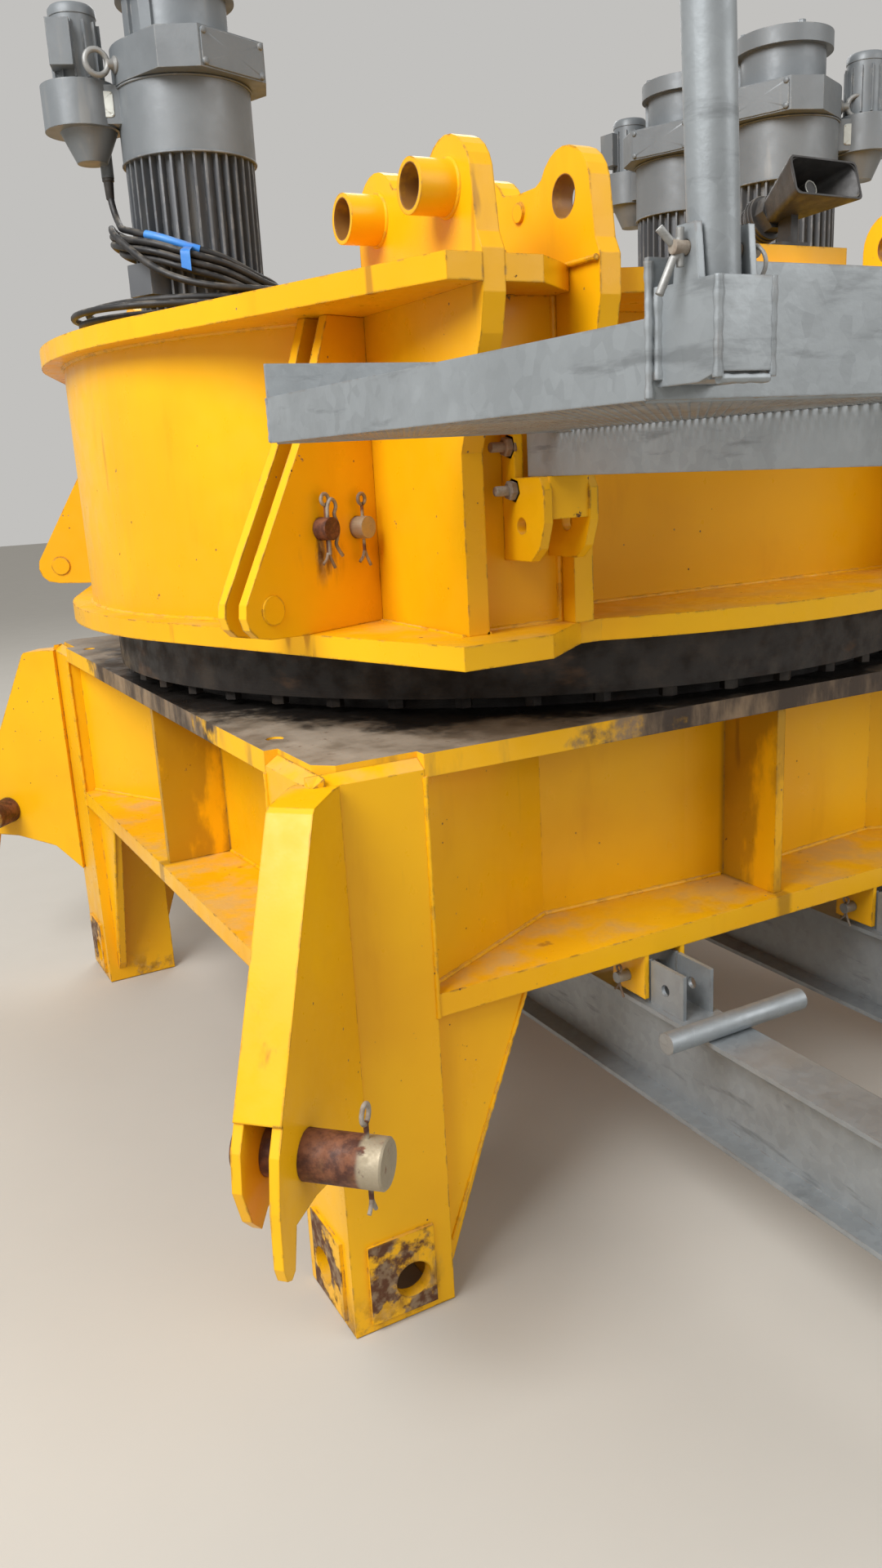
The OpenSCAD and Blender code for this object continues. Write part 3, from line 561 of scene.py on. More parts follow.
def pin_point(y):
    """A point on the axis of the front left climbing pin, y along the axis."""
    out, along = heading(PIN_TURN)
    return tuple(np.array([-MAST, -MAST, PIN_Z]) + PIN_OUT * out + y * along)


# settings that the panel shows

def size(name, text, value):
    """Length setting in metres."""
    return bpy.props.FloatProperty(name=name, description=text, default=value, min=0.0, unit="LENGTH",
                                   subtype="DISTANCE", precision=4)


def shade(name, text, value):
    """Colour setting in linear light."""
    return bpy.props.FloatVectorProperty(name=name, description=text, default=value, size=3, min=0.0, max=1.0,
                                         subtype="COLOR")


class UnitColours(bpy.types.PropertyGroup):
    """Colours of paint, zinc, rust, grease, cable and stage"""
    yellow: shade("Yellow paint", "Main colour of the paint in full light", (0.865, 0.455, 0.0035))
    orange: shade("Warm paint", "Second tone of the yellow paint", (0.79, 0.380, 0.0030))
    zinc: shade("Zinc", "Galvanised steel of the walkway and rails", (0.325, 0.350, 0.366))
    zinc_dull: shade("Dull zinc", "Darker crystals and oxide of the zinc", (0.220, 0.237, 0.246))
    motor: shade("Motor enamel", "Cowl and collar of the motors", (0.165, 0.180, 0.192))
    # painted shade: darker colour for the fins and the lower part of the motors, where the fins shade each other
    motor_fin_shade: shade("Motor fins", "Lower, dirtier part of the motors", (0.112, 0.119, 0.130))
    rust: shade("Rust", "Dark rust of the pins", (0.060, 0.018, 0.010))
    rust_light: shade("Light rust", "Lighter rust of the pins", (0.20, 0.075, 0.035))
    grease: shade("Grease", "Old grease on the slewing ring", (0.014, 0.010, 0.008))
    rubber: shade("Rubber", "Cable sheath", (0.012, 0.012, 0.013))
    horn: shade("Horn plastic", "Horn body", (0.030, 0.028, 0.027))
    tape: shade("Tape", "Blue tape on the cable", (0.03, 0.20, 0.62))
    floor: shade("Floor", "Plain floor of the stage", (0.50, 0.475, 0.43))


class UnitSizes(bpy.types.PropertyGroup):
    """Sizes of the cable, welds, clips, floor mesh and small parts"""
    cable: size("Cable diameter", "Diameter of the cable", 0.014)
    cable_long: size("Cable length", "Length of the cable from gland to plug", 14.43)
    weld: size("Weld radius", "Half width of the weld beads", 0.0055)
    wire: size("Clip wire", "Radius of the wire of clips and split pins", 0.0032)
    diamond_long: size("Diamond length", "Length of a diamond of the floor mesh", 0.036)
    diamond_wide: size("Diamond width", "Width of a diamond of the floor mesh", 0.0143)
    strand: size("Strand", "Half width of the strands of the floor mesh", 0.0017)
    bolt: size("Bolt", "Across the flats of the bracket bolts", 0.027)
    eye: size("Eyebolt", "Radius of the eyebolt rings", 0.023)
    lens: size("Focal length", "Focal length of the camera on a 36 mm sensor", 0.02689)


class UNIT_OT_camera(bpy.types.Operator):
    """Camera that was fitted to the photograph"""
    bl_idname = "unit.camera"
    bl_label = "Camera"

    def execute(self, context):
        yaw, pitch, roll = (math.radians(a) for a in CAMERA_TURN)
        ahead = Vector((math.sin(yaw) * math.cos(pitch), math.cos(yaw) * math.cos(pitch), -math.sin(pitch)))
        side = Vector((math.cos(yaw), -math.sin(yaw), 0))
        above = side.cross(ahead)
        right = side * math.cos(roll) + above * math.sin(roll)
        up = -side * math.sin(roll) + above * math.cos(roll)
        data = bpy.data.cameras.new("photo_camera")
        data.sensor_width = 36
        data.lens = context.scene.unit_sizes.lens * 1000
        data.clip_end = 200
        camera = bpy.data.objects.new("photo_camera", data)
        turn = Matrix((right, up, -ahead)).transposed().to_4x4()
        camera.matrix_world = Matrix.Translation(CAMERA_AT) @ turn
        context.scene.collection.objects.link(camera)
        context.scene.camera = camera
        context.scene.view_settings.view_transform = "Standard"
        return {"FINISHED"}


class UNIT_OT_materials(bpy.types.Operator):
    """Materials of the CAD nodes and of the pieces"""
    bl_idname = "unit.materials"
    bl_label = "Materials"

    def execute(self, context):
        c = context.scene.unit_colours
        yellow, orange = tuple(c.yellow), tuple(c.orange)
        pin_marks = [(p, 0.040, 0.035) for p in mirrored(side_point(0.182, 0.012, 1.352))]
        foot_marks = [(p, 0.05, 0.025) for p in around(FOOT_BORE)]
        painted("deck_paint", yellow, orange, pin_marks[:2], [(y, EAR_Z) for y in EAR_PINS], dust=0.30)
        painted("leg_paint", yellow, orange, foot_marks[:1], pads=True, dust=0.45)
        painted("web_paint", yellow, orange, stiffener_grease_and_shade=True, dust=0.55)
        painted("plain_paint", yellow, orange, dust=0.45)
        galvanised("zinc", tuple(c.zinc), tuple(c.zinc_dull))
        galvanised("post_zinc", tuple(0.80 * x for x in c.zinc), tuple(0.80 * x for x in c.zinc_dull))
        enamel("motor_enamel", tuple(c.motor), tuple(c.motor_fin_shade))
        rusted("climb_rust", tuple(c.rust), tuple(c.rust_light), [(p, 0.062) for p in around(pin_point(0.178))])
        rusted("side_rust", tuple(c.rust), tuple(c.rust_light),
               [(p, 0.030) for p in mirrored(side_point(0.090, 0.036, 1.387))])
        rusted("clip_steel", (0.20, 0.15, 0.11), (0.34, 0.30, 0.25))
        galvanised("eye_steel", (0.30, 0.30, 0.29), (0.18, 0.178, 0.172))
        galvanised("pale_plate", (0.55, 0.56, 0.52), (0.44, 0.45, 0.41))
        greased("ring_grease", tuple(c.grease), (0.034, 0.024, 0.017))
        bare_plate("bare_plate", yellow)
        dull_plastic("cable_rubber", tuple(c.rubber), (0.055, 0.050, 0.045))
        dull_plastic("horn_plastic", tuple(c.horn), (0.075, 0.066, 0.058))
        dull_plastic("blue_tape", tuple(c.tape), (0.08, 0.28, 0.60))
        n = Nodes("stage_floor")
        n.finish(n.mix(n.noise(3.0, 4), tuple(c.floor), tuple(x * 0.94 for x in c.floor)),
                 n.span(n.noise(8, 3), 0.3, 0.7, 0.8, 0.95), n.noise(40, 3), 0.1, 0.001)
        for name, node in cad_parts.items():
            chosen = next((look for start, look in LOOKS if name.startswith(start)), None)
            if chosen is None:
                raise RuntimeError("no material for " + name)
            if not node.material_slots:
                node.data.materials.append(bpy.data.materials[chosen])
            for held in node.material_slots:
                held.material = bpy.data.materials[chosen]
        return {"FINISHED"}


def cable_path():
    """Cable centreline: lead, two layers of turns, a drop, the loops of the heap, and the tail.

    A turn is a circle of radius r round the motor, raised by tan(lean) times r cos(angle - dip), so that it lies
    in a tilted plane. Radius and height pass from one layer to the next along smooth steps. Small sines loosen
    the turns and the loops. Last, each point moves halfway to the mean of its neighbours, ten times over.
    """
    tilt = math.tan(math.radians(COIL_LEAN))

    def lean_z(a, r, row):
        return COIL_Z + row + tilt * r * np.cos(a - math.radians(COIL_DIP))

    def ripple(a):
        return 0.0035 * np.sin(3 * a + 0.6) + 0.0018 * np.sin(7 * a)

    def round_motor(a, r, z):
        return np.stack([-MOTOR_R + r * np.cos(a), r * np.sin(a), z], -1)

    t = np.arange(0, COIL_TURNS, 1 / 40)
    a = math.radians(COIL_START) + 2 * math.pi * t
    r = COIL_INNER + COIL_STEP * smooth_step((t - 2.95) / 0.3) + 0.0022 * np.sin(2 * a + 1.1)
    row = np.where(t < 3.1, COIL_HALF - COIL_PITCH * np.minimum(t, 3.0),
                   -COIL_HALF + COIL_PITCH * np.clip(t - 3.25, 0, 3.0))
    turns = round_motor(a, r, lean_z(a, r, row) + ripple(a) * smooth_step(t / 0.12))

    s = np.linspace(0, 1, 16)[1:-1]
    reach = a[-1] + math.radians(DROP_TURN)
    ad = a[-1] + (reach - a[-1]) * s
    over = 0.019 + COIL_OUTER - r[-1]
    rd = r[-1] + over * smooth_step(s / 0.28) + 0.056 * smooth_step((s - 0.3) / 0.7)
    fall = smooth_step((s - 0.04) / 0.96)
    on_coil = lean_z(ad, COIL_OUTER, row[-1]) + ripple(ad) * (1 - smooth_step(s / 0.3))
    drop = round_motor(ad, rd, on_coil * (1 - fall) + HEAP_TOP * fall)

    loops = 4 + (math.radians(HEAP_END) - reach) % (2 * math.pi) / (2 * math.pi)
    q = np.arange(0, loops, 1 / 44)
    loose = smooth_step(q / 0.2)
    rq = HEAP_R + 0.026 * np.sin(2 * math.pi * q * 0.73) * loose + 0.012 * np.sin(2 * math.pi * q * 2.31) * loose
    leave = smooth_step((q - loops + 0.45) / 0.45)
    rq = rq * (1 - leave) + HEAP_END_R * leave
    zq = np.maximum(HEAP_TOP - HEAP_PITCH * q, HEAP_LOW) + 0.0058 * smooth_step((q - loops + 0.10) / 0.10)
    heap = round_motor(reach + 2 * math.pi * q, rq, zq)

    path = smooth_path(np.vstack([LEAD, turns, drop, heap, TAIL]), 0.006)
    for _ in range(10):
        path[1:-1] = (path[:-2] + 2 * path[1:-1] + path[2:]) / 4
    return path


def tape_piece(path, deck_material):
    """Tape round one strand, as a tube, and its loose end: a strip that springs out along a sine and hangs down."""
    i = int(np.argmin(np.linalg.norm(path - TAPE_AT, axis=1)))
    wrap = tube(path[i - 9:i + 10], 0.0086, 16)
    u = np.linspace(0, 1, 12)[:, None]
    v = np.linspace(-1, 1, 6)[None]
    out = np.array([TAPE_AT[0] + MOTOR_R, TAPE_AT[1], 0.0])
    out = out / np.linalg.norm(out)
    side = np.cross([0, 0, 1], out)
    spring = 0.026 * np.sin(np.minimum(1, 3.2 * u) * math.pi / 2) + 0 * v
    flap = path[i + 6] + out * 0.0088 + side * (0.010 * v[..., None]) + out * spring[..., None] \
        + np.array([0, 0, -1]) * (0.046 * u + 0.004 * v * u)[..., None]
    strip = grid(np.concatenate([flap, (flap + out * 0.0008)[::-1]]), True, False)
    return make("blue_tape", [wrap, strip], "deck", deck_material)


class UNIT_OT_cable(bpy.types.Operator):
    """Cable from the gland of the left motor, wound round it and heaped on the deck, with its tape"""
    bl_idname = "unit.cable"
    bl_label = "Cable"

    def execute(self, context):
        s = context.scene.unit_sizes
        path = cable_path()
        data = bpy.data.curves.new("power_cable", "CURVE")
        data.dimensions = "3D"
        data.bevel_depth = s.cable / 2
        data.bevel_resolution = 3
        data.use_fill_caps = True
        line = data.splines.new("POLY")
        line.points.add(len(path) - 1)
        line.points.foreach_set("co", np.hstack([path, np.ones((len(path), 1))]).ravel())
        line.use_smooth = True
        data.materials.append(bpy.data.materials["cable_rubber"])
        cable = bpy.data.objects.new("power_cable", data)
        context.scene.collection.objects.link(cable)
        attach(cable, "deck")
        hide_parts("cable_lead", "cable_coil", "cable_tail")
        tape = tape_piece(path, "blue_tape")
        # tapered strain relief below the gland
        sleeve = lathe([(0.0072, -0.046), (0.0085, -0.044), (0.0105, -0.012), (0.0125, -0.010), (0.0125, 0.0)], 20)
        relief_piece = make("cable_relief", [move(sleeve, LEAD[0] + np.array([0, 0, 0.004]))],
                            "deck", "horn_plastic")
        return {"FINISHED"}


def plate(mid, along, out, half_u, half_v, thick):
    """Flat plate with rounded corners: a rounded rectangle raised along its normal, with a small bevel at the top."""
    u = np.linspace(0, 2 * math.pi, 48, endpoint=False)
    c, d = np.cos(u), np.sin(u)
    shape = np.stack([np.sign(c) * np.abs(c) ** 0.22, np.sign(d) * np.abs(d) ** 0.22], -1)
    rows = []
    for inset, height in ((0.0, -0.001), (0.0, thick * 0.7), (thick * 0.3, thick)):
        q = shape * [half_u - inset, half_v - inset]
        rows.append(mid + q[:, :1] * along + q[:, 1:] * np.array([0, 0, 1.0]) + out * height)
    return grid(np.array(rows), wrap_v=True, cap=True)


def clip_set(top, bottom, wire, along, ring_r=0.013):
    """Split pin: a ring above its rod and two legs spread below; along is the direction of the pin it secures."""
    top, bottom, along = (np.asarray(x, float) for x in (top, bottom, along))
    along = along / np.linalg.norm(along)
    across = np.cross([0, 0, 1.0], along)
    a = np.linspace(-0.42 * math.pi, 1.42 * math.pi, 26)[:, None]
    loop = top + np.array([0, 0, ring_r * 0.8]) + ring_r * (np.cos(a) * across + np.sin(a) * np.array([0, 0, 1.0]))
    parts = [tube(loop, wire, 10, along)]
    for k in (-1, 1):
        leg = np.array([bottom + k * across * 0.001, bottom + k * across * 0.005 - np.array([0, 0, 0.010]),
                        bottom + k * across * 0.014 - np.array([0, 0, 0.022 + 0.004 * k])])
        parts.append(tube(smooth_path(leg, 0.003), wire * 0.9, 10, along))
    return parts


def r_clip(centre, along, pin_r, wire):
    """Spring clip: a straight leg through the pin, a loop above it and a wavy leg that hugs the pin's side."""
    along = np.asarray(along, float) / np.linalg.norm(along)
    across = np.cross([0, 0, 1.0], along)
    leg = [[0, -2.1], [0, -1.0], [0, 0.2], [0, 1.3]]
    loop = [[0.10, 1.9], [0.48, 2.35], [0.92, 2.15], [1.05, 1.7], [0.82, 1.25]]
    wave = [[0.85, 0.9], [1.12, 0.35], [1.15, -0.3], [0.92, -0.95], [0.80, -1.3], [1.15, -1.9], [1.5, -2.3]]
    flat = np.array(leg + loop + wave) * pin_r
    path = np.asarray(centre, float) + smooth_path(flat[:, :1] * across + flat[:, 1:] * np.array([0, 0, 1.0]), 0.003)
    return tube(path, wire, 10, along)


class UNIT_OT_clips(bpy.types.Operator):
    """Split pins and spring clips of the climbing pins, side pins, rail pins and the guard post"""
    bl_idname = "unit.clips"
    bl_label = "Clips"

    def execute(self, context):
        w = context.scene.unit_sizes.wire
        base, deck = [], []
        for y in (0.135, -0.054):
            for k, p in enumerate(around(pin_point(y))):
                way = heading(PIN_TURN + 90 + 90 * k)[0]
                base += clip_set((p[0], p[1], PIN_Z + 0.066), (p[0], p[1], PIN_Z - 0.062), w * 1.2, way, 0.015)
        for u, z in SIDE_PINS:
            p0, p1 = side_point(u, 0.023, z), side_point(u, 0.123, z)
            for sx in (1, -1):
                for sy in (1, -1):
                    way = np.array([(p1[0] - p0[0]) * sx, (p1[1] - p0[1]) * sy, 0])
                    at = np.array([p0[0] * sx, p0[1] * sy, z])
                    if u > 0.1:
                        deck.append(r_clip(at + way / np.linalg.norm(way) * 0.004, way, 0.0205, w))
                    deck += clip_set(at + [0, 0, 0.041], at - [0, 0, 0.040], w, way, 0.009)
        pin_x, pin_y, pin_z = RAIL_PINS
        for x in (-pin_x, pin_x):
            for y in (-pin_y, pin_y):
                for s in (-1, 1):
                    p = np.array([x + s * 0.068, y, pin_z])
                    base += clip_set(p + [0, 0, 0.013], p - [0, 0, 0.012], w * 0.8, (s, 0, 0), 0.007)
        make("base_clips", base, "base", "clip_steel")
        make("deck_clips", deck, "deck", "clip_steel")
        # clip with an upper and a lower leg on the left of the post pin, ring on its right
        left = np.array(POST_PIN)
        out = np.array([-0.88, 0.30, 0.0])
        foot = left + [0.004, 0, 0]
        bars = [tube(np.array([foot, left + out * 0.008 + [0, 0, 0.004], left + out * 0.017 + [0, 0, 0.013]]), w, 10),
                tube(np.array([foot, left + out * 0.006 - [0, 0, 0.008], left + out * 0.017 - [0, 0, 0.031]]), w, 10),
                tube(np.array([left + [0.0, 0, 0.013], left + [0, 0, -0.013]]), w * 0.9, 10)]
        ring_piece = place(ring(0.013, 0.0016), left + [0.066, 0, -0.010], (0, 1, 0), (1, 0.25, 0))
        make("post_clips", bars + [ring_piece], "deck", "eye_steel")
        return {"FINISHED"}


def collar_plate(c, facing):
    """Cover plate with a screw in each corner, on the flat face of a motor's collar."""
    out, along = heading(facing)
    mid = c + out * 0.1600 + np.array([0, 0, COWL_TOP + 0.037])
    screw = lathe([(0.0, 0.004), (0.004, 0.004), (0.0062, 0.0028), (0.0068, 0.0), (0.0068, -0.004)], 14)
    parts = [plate(mid, along, out, 0.081, 0.034, 0.0028)]
    for u in (-0.074, 0.074):
        for v in (-0.027, 0.027):
            parts.append(place(screw, mid + out * 0.0028 + along * u + [0, 0, v], along, out))
    return parts


def blank_plate(c, blower, side):
    """Blank plate with a rivet in each corner, on the side of a blower's duct."""
    duct, left = heading(blower)
    out = left * side
    at = c + duct * 0.168 + out * 0.052 + [0, 0, 0.453]
    rivet = lathe([(0.0, 0.0012), (0.0014, 0.0010), (0.0020, 0.0), (0.0020, -0.001)], 12)
    parts = [plate(at, duct, out, 0.028, 0.024, 0.0016)]
    for u in (-0.024, 0.024):
        for v in (-0.020, 0.020):
            parts.append(place(rivet, at + out * 0.0016 + duct * u + [0, 0, v], duct, out))
    return parts


def fan_grille(top):
    """Rim, rings and spokes over the small fan motor of a blower."""
    rim = lathe([(0.044, -0.012), (0.0475, -0.010), (0.0475, 0.004), (0.043, 0.010), (0.036, 0.011)], 32)
    parts = [move(rim, top)]
    parts += [move(ring(r, 0.0016, 28, 6), top + [0, 0, 0.010]) for r in (0.010, 0.019, 0.028, 0.036)]
    for k in range(3):
        spoke = heading(60 * k + 15)[0] * 0.040
        parts.append(tube(np.array([top - spoke + [0, 0, 0.009], top + spoke + [0, 0, 0.009]]), 0.0014, 8))
    return parts


def eyebolt(c, facing, eye):
    """Collar and ring of an eyebolt that stands out of a motor's collar."""
    out = heading(facing)[0]
    at = c + out * 0.142 + [0, 0, COWL_TOP + 0.036]
    foot = lathe([(0.010, -0.004), (0.016, -0.004), (0.016, 0.003), (0.010, 0.006), (0.0085, 0.018)], 24)
    return [place(foot, at, (0, 0, 1), out),
            place(ring(eye, 0.0058, 32, 12), at + out * (0.016 + eye), out, np.cross(out, [0, 0, 1.0]))]


class UNIT_OT_motor_trim(bpy.types.Operator):
    """Eyebolts, cover plates with screws, cap bolts and fan grilles of the motors"""
    bl_idname = "unit.motor_trim"
    bl_label = "Motor trim"

    def execute(self, context):
        eye = context.scene.unit_sizes.eye
        parts, eyes, blanks = [], [], []
        nut = lathe([(0.0, 0.009), (0.0085, 0.009), (0.0100, 0.0072), (0.0100, 0.0), (0.0135, 0.0),
                     (0.0135, -0.004)], 6)
        for (turn, facing, blower), eye_turn in zip(MOTORS, (186, 322, 100)):
            c = MOTOR_R * heading(turn)[0] + np.array([0, 0, DECK_TOP])
            parts += collar_plate(c, facing)
            blanks += blank_plate(c, blower, 1 if turn == 180 else -1)
            for k in range(4):
                parts.append(move(nut, c + 0.104 * heading(facing + 45 + 90 * k)[0] + [0, 0, 0.6862]))
            parts += fan_grille(c + 0.208 * heading(blower)[0] + [0, 0, 0.631])
            # rim at the foot of the cowl and joint line below the collar
            for z, r in ((0.346, 0.1385), (0.482, 0.1395)):
                parts.append(move(ring(r, 0.0022, 64, 8), c + [0, 0, z]))
            eyes += eyebolt(c, eye_turn, eye)
        make("motor_trim", parts, "deck", "motor_enamel")
        make("eyebolts", eyes, "deck", "eye_steel")
        make("blank_plates", blanks, "deck", "pale_plate")
        return {"FINISHED"}


class UNIT_OT_floor_mesh(bpy.types.Operator):
    """Expanded metal floor of the walkway, in place of its plain slab"""
    bl_idname = "unit.floor_mesh"
    bl_label = "Floor mesh"

    def execute(self, context):
        # strands zigzag along X: each row's height goes 0.06, 0.5, 0.94, 0.5 of the spacing, and every other row
        # starts two steps later, so that neighbours meet in diamonds
        s = context.scene.unit_sizes
        low, high = (np.array(p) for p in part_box("walk_mesh"))
        half = s.diamond_wide / 2
        lines = int((high[1] - low[1]) / half)
        half = (high[1] - low[1]) / lines
        count = int((high[0] - low[0]) / s.diamond_long) * 4
        x = np.linspace(low[0], high[0], count + 1)[None, :]
        row = np.arange(lines)[:, None]
        phase = (np.arange(count + 1)[None, :] + 2 * (row % 2)) % 4
        rise = np.choose(phase, [0.06, 0.5, 0.94, 0.5])
        y = low[1] + (row + rise) * half
        z = (low[2] + high[2]) / 2 + np.choose(phase, [-0.0012, 0.0, 0.0012, 0.0])
        mid = np.stack([np.broadcast_to(x, y.shape), y, z], -1)
        w = s.strand
        corners = np.array([[0, -w, -0.0008], [0, w, -0.0014], [0, w, 0.0008], [0, -w, 0.0014]])
        p = mid[:, :, None] + corners
        index = np.arange(p[..., 0].size).reshape(p.shape[:3])
        wrap = np.concatenate([index, index[:, :, :1]], 2)
        quads = np.stack([wrap[:, :-1, :-1], wrap[:, 1:, :-1], wrap[:, 1:, 1:], wrap[:, :-1, 1:]], -1).reshape(-1, 4)
        ends = np.concatenate([index[:, 0, ::-1], index[:, -1]])
        surface = (p.reshape(-1, 3), np.vstack([quads, ends]), np.zeros((0, 3), int))
        rim = []
        for y0 in (low[1] + 0.006, high[1] - 0.006):
            rim.append(tube(np.array([[low[0], y0, low[2] + 0.002], [high[0], y0, low[2] + 0.002]]), 0.004, 4))
        piece = make("floor_mesh", [surface] + rim, "deck", "zinc", smooth=False)
        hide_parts("walk_mesh")
        return {"FINISHED"}


def bead(points, radius, step=0.006, rough=1.0):
    """Weld bead: a bar along a path whose radius ripples from place to place, more where the weld is rough."""
    path = smooth_path(points, step) if len(points) > 2 else None
    if path is None:
        a, b = (np.asarray(p, float) for p in points)
        n = max(3, int(np.linalg.norm(b - a) / step))
        path = a + (b - a) * np.linspace(0, 1, n)[:, None]
    i = np.arange(len(path))
    wave = 1 + rough * (0.10 * np.sin(i * 2.1) + 0.08 * np.sin(i * 0.73 + 1.3) + 0.05 * np.sin(i * 5.3))
    return tube(path, radius * wave, 8)


def wall_line(end):
    """Foot of the deck's round wall: a circle that draws in past 8 degrees, by the 1.4th power of the angle."""
    a = np.radians(np.arange(-46, 47, 2))
    q = np.maximum(0, np.abs(np.degrees(a)) - 8) / 36
    r = WALL_R - 0.060 * q ** 1.4
    return np.stack([end * r * np.cos(a), r * np.sin(a)], -1)


def corner_lines(sx, sy):
    """Straight welds at one corner of the deck, each as its two ends and its share of the weld radius."""
    outer, inner = EAR_X
    wall_x, wall_y = 0.467, 0.820  # where the wall behind the motors meets the corner
    flat = [((x, 1.018, DECK_LOW), (x, 0.72, DECK_LOW), 0.8) for x in (0.724, outer)]
    flat += [((x, 1.100, DECK_TOP), (x, 0.66, DECK_TOP), 0.8) for x in EAR_X]
    flat += [((outer, CORNER_Y, DECK_LOW), (inner, CORNER_Y, DECK_LOW), 1),
             ((wall_x, wall_y, DECK_LOW), (0.0, wall_y, DECK_LOW), 1),
             ((wall_x, wall_y, DECK_LOW), (wall_x, wall_y, DECK_UP), 1)]
    flat += [((x, CORNER_Y, DECK_LOW), (x, CORNER_Y, DECK_UP), 1) for x in EAR_X]
    turn = np.array([sx, sy, 1])
    return [(a * turn, b * turn, share) for a, b, share in flat]


class UNIT_OT_welds(bpy.types.Operator):
    """Weld beads along the joints of the deck and of the support"""
    bl_idname = "unit.welds"
    bl_label = "Welds"

    def execute(self, context):
        w = context.scene.unit_sizes.weld
        deck = []
        for end in (-1, 1):
            line = wall_line(end)
            for z in (DECK_LOW, DECK_UP):
                deck.append(bead(np.column_stack([line, np.full(len(line), z)]), w))
        for sx in (-1, 1):
            for sy in (-1, 1):
                deck += [bead([a, b], w * share) for a, b, share in corner_lines(sx, sy)]
                for y in EAR_PINS:
                    deck.append(place(ring(0.038, w * 0.75, 40, 8), (sx * 0.715, sy * y, EAR_Z), (0, 1, 0), (sx, 0, 0)))
        base = []
        seam = ((-0.80, -MAST, 0.567), (-0.80, -MAST, 0.998))  # tongue of a leg
        gusset = ((-0.782, -LEG_FACE, 0.10), (-0.60, -LEG_FACE, 0.565))
        for k in range(4):
            for a, b in (seam, gusset):
                for line in ([a, b], [(a[1], a[0], a[2]), (b[1], b[0], b[2])]):
                    base.append(turned(bead(line, w * 0.8), 90 * k))
            for s in (-1, 1):
                web = [(s * x, y, LOW_FLANGE) for x, y in ((0.800, -LEG_FACE), (0.45, -0.800), (0.02, -0.830))]
                base += [turned(bead(web[:2], w), 90 * k), turned(bead(web[1:], w), 90 * k)]
        make("deck_welds", deck, "deck", "plain_paint")
        make("base_welds", base, "base", "plain_paint")
        return {"FINISHED"}


def bracket_bolts(flats):
    """Two bolts through the bracket and the ear plate: a head at each end, and a thread on the left."""
    f = flats / 2 / math.cos(math.pi / 6)
    head = lathe([(0.0, 0.011), (f * 0.86, 0.011), (f, 0.009), (f, 0.0), (f * 1.25, 0.0), (f * 1.25, -0.004)], 6)
    thread = lathe([(0.0, 0.034), (0.0072, 0.034), (0.0080, 0.032), (0.0080, -0.002)], 18)
    bolts = []
    for y, z in ((-1.004, 1.507), (-1.014, 1.440)):
        bolts.append(place(head, (-0.621, y, z), (0, 0.3, 1), (-1, 0, 0)))
        bolts.append(place(thread, (-0.621, y, z), (0, 0, 1), (-1, 0, 0)))
        bolts.append(place(head, (-0.519, y, z), (0, 0, 1), (1, 0, 0)))
    return bolts


def walk_beads():
    """Rough welds round the post's socket and at two corners of the tray, and even ones along the arm."""
    x, y, low = SOCKET
    top = SOCKET_TOP
    front = y - 0.0635
    rough = [((x, y, low), (x, y, top), 0.0046, 1.3),
             ((x + 0.055, y, low), (x + 0.055, y, top), 0.0046, 1.3),
             ((x + 0.002, front, low - 0.003), (x + 0.002, front, top), 0.0036, 1.4),
             ((x + 0.053, front, low - 0.003), (x + 0.053, front, top), 0.0030, 1.2),
             ((x + 0.003, y - 0.063, low - 0.004), (x + 0.050, y - 0.063, low - 0.004), 0.0036, 1.2),
             ((-1.054, -1.101, 1.526), (-1.054, -1.101, 1.582), 0.0032, 1.2),
             ((-1.054, -1.899, 1.526), (-1.054, -1.899, 1.622), 0.0034, 1.4)]
    beads = [bead([a, b], radius, 0.005, wave) for a, b, radius, wave in rough]
    for x in (-0.603, -0.537):
        for y, inwards in ((-1.892, 0.05), (-1.104, -0.05)):
            beads.append(bead([(x, y, 1.527), (x, y + inwards, 1.527)], 0.0045))
    return beads


def horn_lip(turn, along):
    """Rolled edge of the horn's mouth: a thin ring carried round a squared-off oval."""
    u = np.linspace(0, 2 * math.pi, 72, endpoint=False)
    c, d = np.cos(u), np.sin(u)
    lip = np.stack([0.0765 * np.sign(c) * np.abs(c) ** 0.30, np.full(72, -0.0600),
                    0.0295 * np.sign(d) * np.abs(d) ** 0.42], -1)
    path = np.array(HORN_AT) + lip @ turn.T
    out = path - path.mean(0)
    out /= np.linalg.norm(out, axis=1, keepdims=True)
    v = np.linspace(0, 2 * math.pi, 8, endpoint=False)[None, :, None]
    return grid(path[:, None] + 0.0020 * (np.cos(v) * out[:, None] + np.sin(v) * along), True, True)


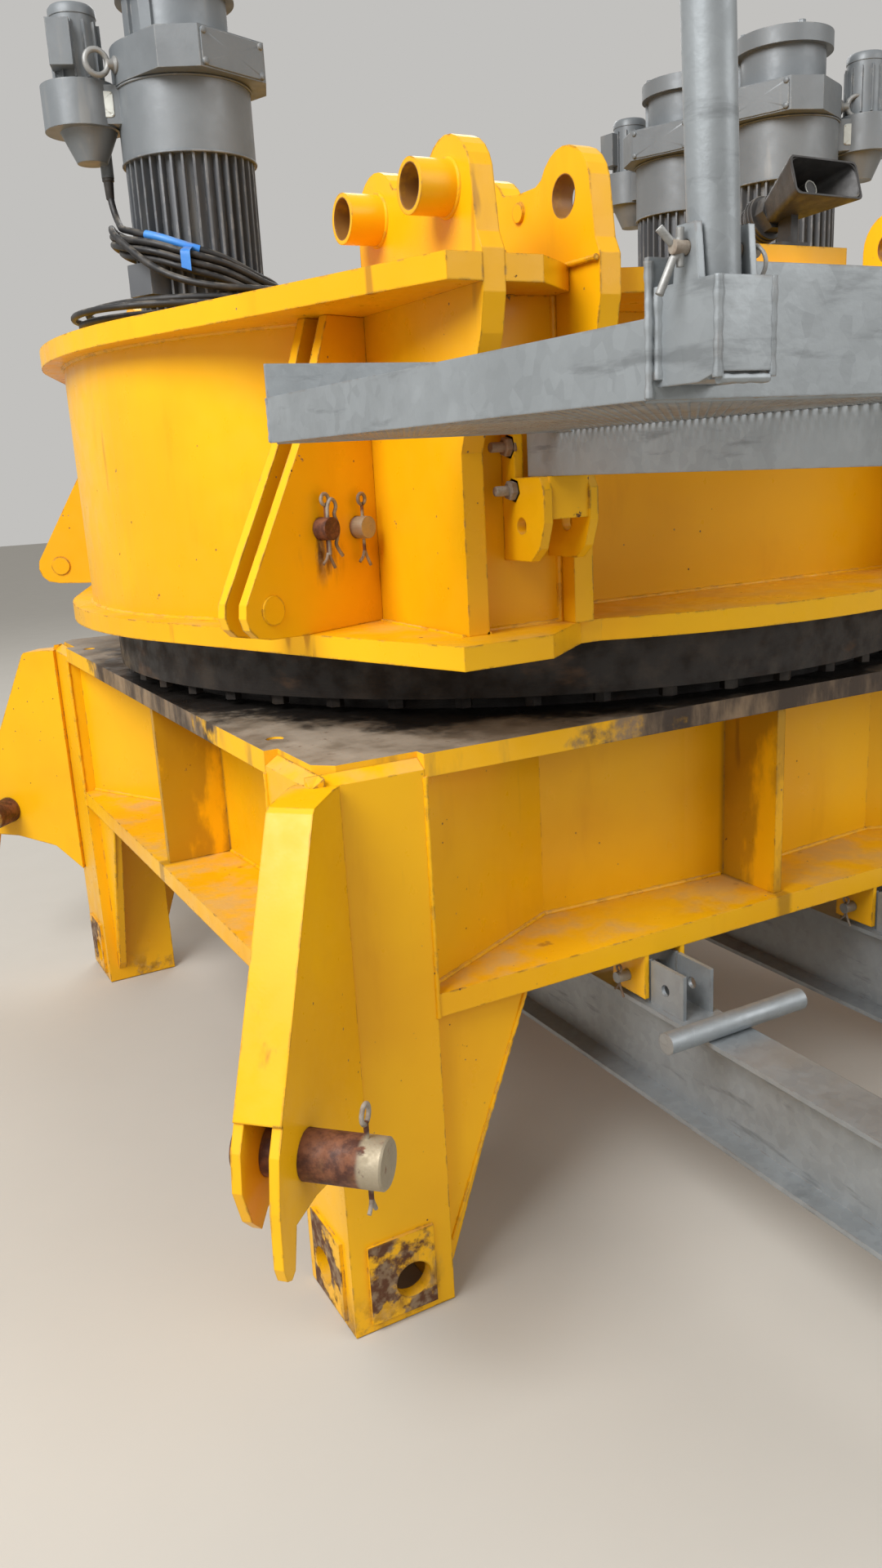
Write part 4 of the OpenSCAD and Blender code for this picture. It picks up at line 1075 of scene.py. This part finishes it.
class UNIT_OT_small_parts(bpy.types.Operator):
    """Bolts of the walkway's bracket, welds of the walkway, and the rings and lip of the horn"""
    bl_idname = "unit.small_parts"
    bl_label = "Small parts"

    def execute(self, context):
        make("bracket_bolts", bracket_bolts(context.scene.unit_sizes.bolt), "deck", "clip_steel")
        make("walk_welds", walk_beads(), "deck", "zinc")
        rx, ry, rz = (math.radians(a) for a in HORN_TURN)
        turn = np.array(Matrix.Rotation(rz, 3, "Z") @ Matrix.Rotation(ry, 3, "Y") @ Matrix.Rotation(rx, 3, "X"))
        along = turn @ np.array([0, -1.0, 0])
        side = turn @ np.array([1.0, 0, 0])

        def horn_circle(radius, thick, y, count):
            return place(ring(radius, thick, count, 8), np.array(HORN_AT) + turn @ np.array([0, y, 0]), side, along)

        rings = ((0.0705, 0.0362), (0.078, 0.0364), (0.0855, 0.0362), (0.094, 0.0305), (0.101, 0.0303))
        trim = [horn_circle(radius, 0.0018, y, 40) for y, radius in rings]
        make("horn_ring", [horn_circle(0.0122, 0.0011, -0.0282, 36)], "deck", "pale_plate")
        make("horn_trim", trim + [horn_lip(turn, along)], "deck", "horn_plastic")
        return {"FINISHED"}


class UNIT_OT_stage(bpy.types.Operator):
    """Plain pale floor and soft studio light"""
    bl_idname = "unit.stage"
    bl_label = "Stage"

    def execute(self, context):
        mesh = bpy.data.meshes.new("stage_floor")
        wide, low = 30, -0.002
        corners = [(-wide, -wide, low), (wide, -wide, low), (wide, wide, low), (-wide, wide, low)]
        mesh.from_pydata(corners, [], [(0, 1, 2, 3)])
        mesh.materials.append(bpy.data.materials["stage_floor"])
        floor = bpy.data.objects.new("stage_floor", mesh)
        context.scene.collection.objects.link(floor)
        for name, at, across, power in (("key", (-5.5, -2.6, 6.0), 4.5, 640), ("fill", (3.5, -6.0, 4.5), 5.0, 150),
                                        ("back", (2.0, 6.0, 6.5), 5.0, 240)):
            light = bpy.data.lights.new(name, "AREA")
            light.shape = "DISK"
            light.size = across
            light.energy = power
            thing = bpy.data.objects.new(name, light)
            thing.location = at
            thing.rotation_euler = (Vector((0, 0, 1.1)) - Vector(at)).to_track_quat("-Z", "Y").to_euler()
            context.scene.collection.objects.link(thing)
        world = bpy.data.worlds.new("studio")
        world.use_nodes = True
        back = world.node_tree.nodes["Background"]
        back.inputs[0].default_value = (1.0, 0.985, 0.955, 1.0)
        back.inputs[1].default_value = 0.54
        context.scene.world = world
        return {"FINISHED"}


STEPS = ("camera", "materials", "cable", "clips", "motor_trim", "floor_mesh", "welds", "small_parts", "stage")


class UNIT_PT_panel(bpy.types.Panel):
    """Buttons and settings of the slewing unit"""
    bl_idname = "UNIT_PT_panel"
    bl_label = "Slewing unit"
    bl_space_type = "VIEW_3D"
    bl_region_type = "UI"
    bl_category = "Slewing unit"

    def draw(self, context):
        for group in (context.scene.unit_sizes, context.scene.unit_colours):
            box = self.layout.box()
            for key in group.__annotations__:
                box.prop(group, key)
        for step in STEPS:
            self.layout.operator("unit." + step)


CLASSES = (UnitColours, UnitSizes, UNIT_OT_camera, UNIT_OT_materials, UNIT_OT_cable, UNIT_OT_clips,
           UNIT_OT_motor_trim, UNIT_OT_floor_mesh, UNIT_OT_welds, UNIT_OT_small_parts, UNIT_OT_stage, UNIT_PT_panel)


def register():
    for item in CLASSES:
        bpy.utils.register_class(item)
    bpy.types.Scene.unit_colours = bpy.props.PointerProperty(type=UnitColours)
    bpy.types.Scene.unit_sizes = bpy.props.PointerProperty(type=UnitSizes)


def unregister():
    del bpy.types.Scene.unit_sizes
    del bpy.types.Scene.unit_colours
    for item in reversed(CLASSES):
        bpy.utils.unregister_class(item)


def main():
    register()
    for step in STEPS:
        if getattr(bpy.ops.unit, step)() != {"FINISHED"}:
            raise RuntimeError("the step " + step + " didn't finish")


if __name__ == "__main__":
    main()
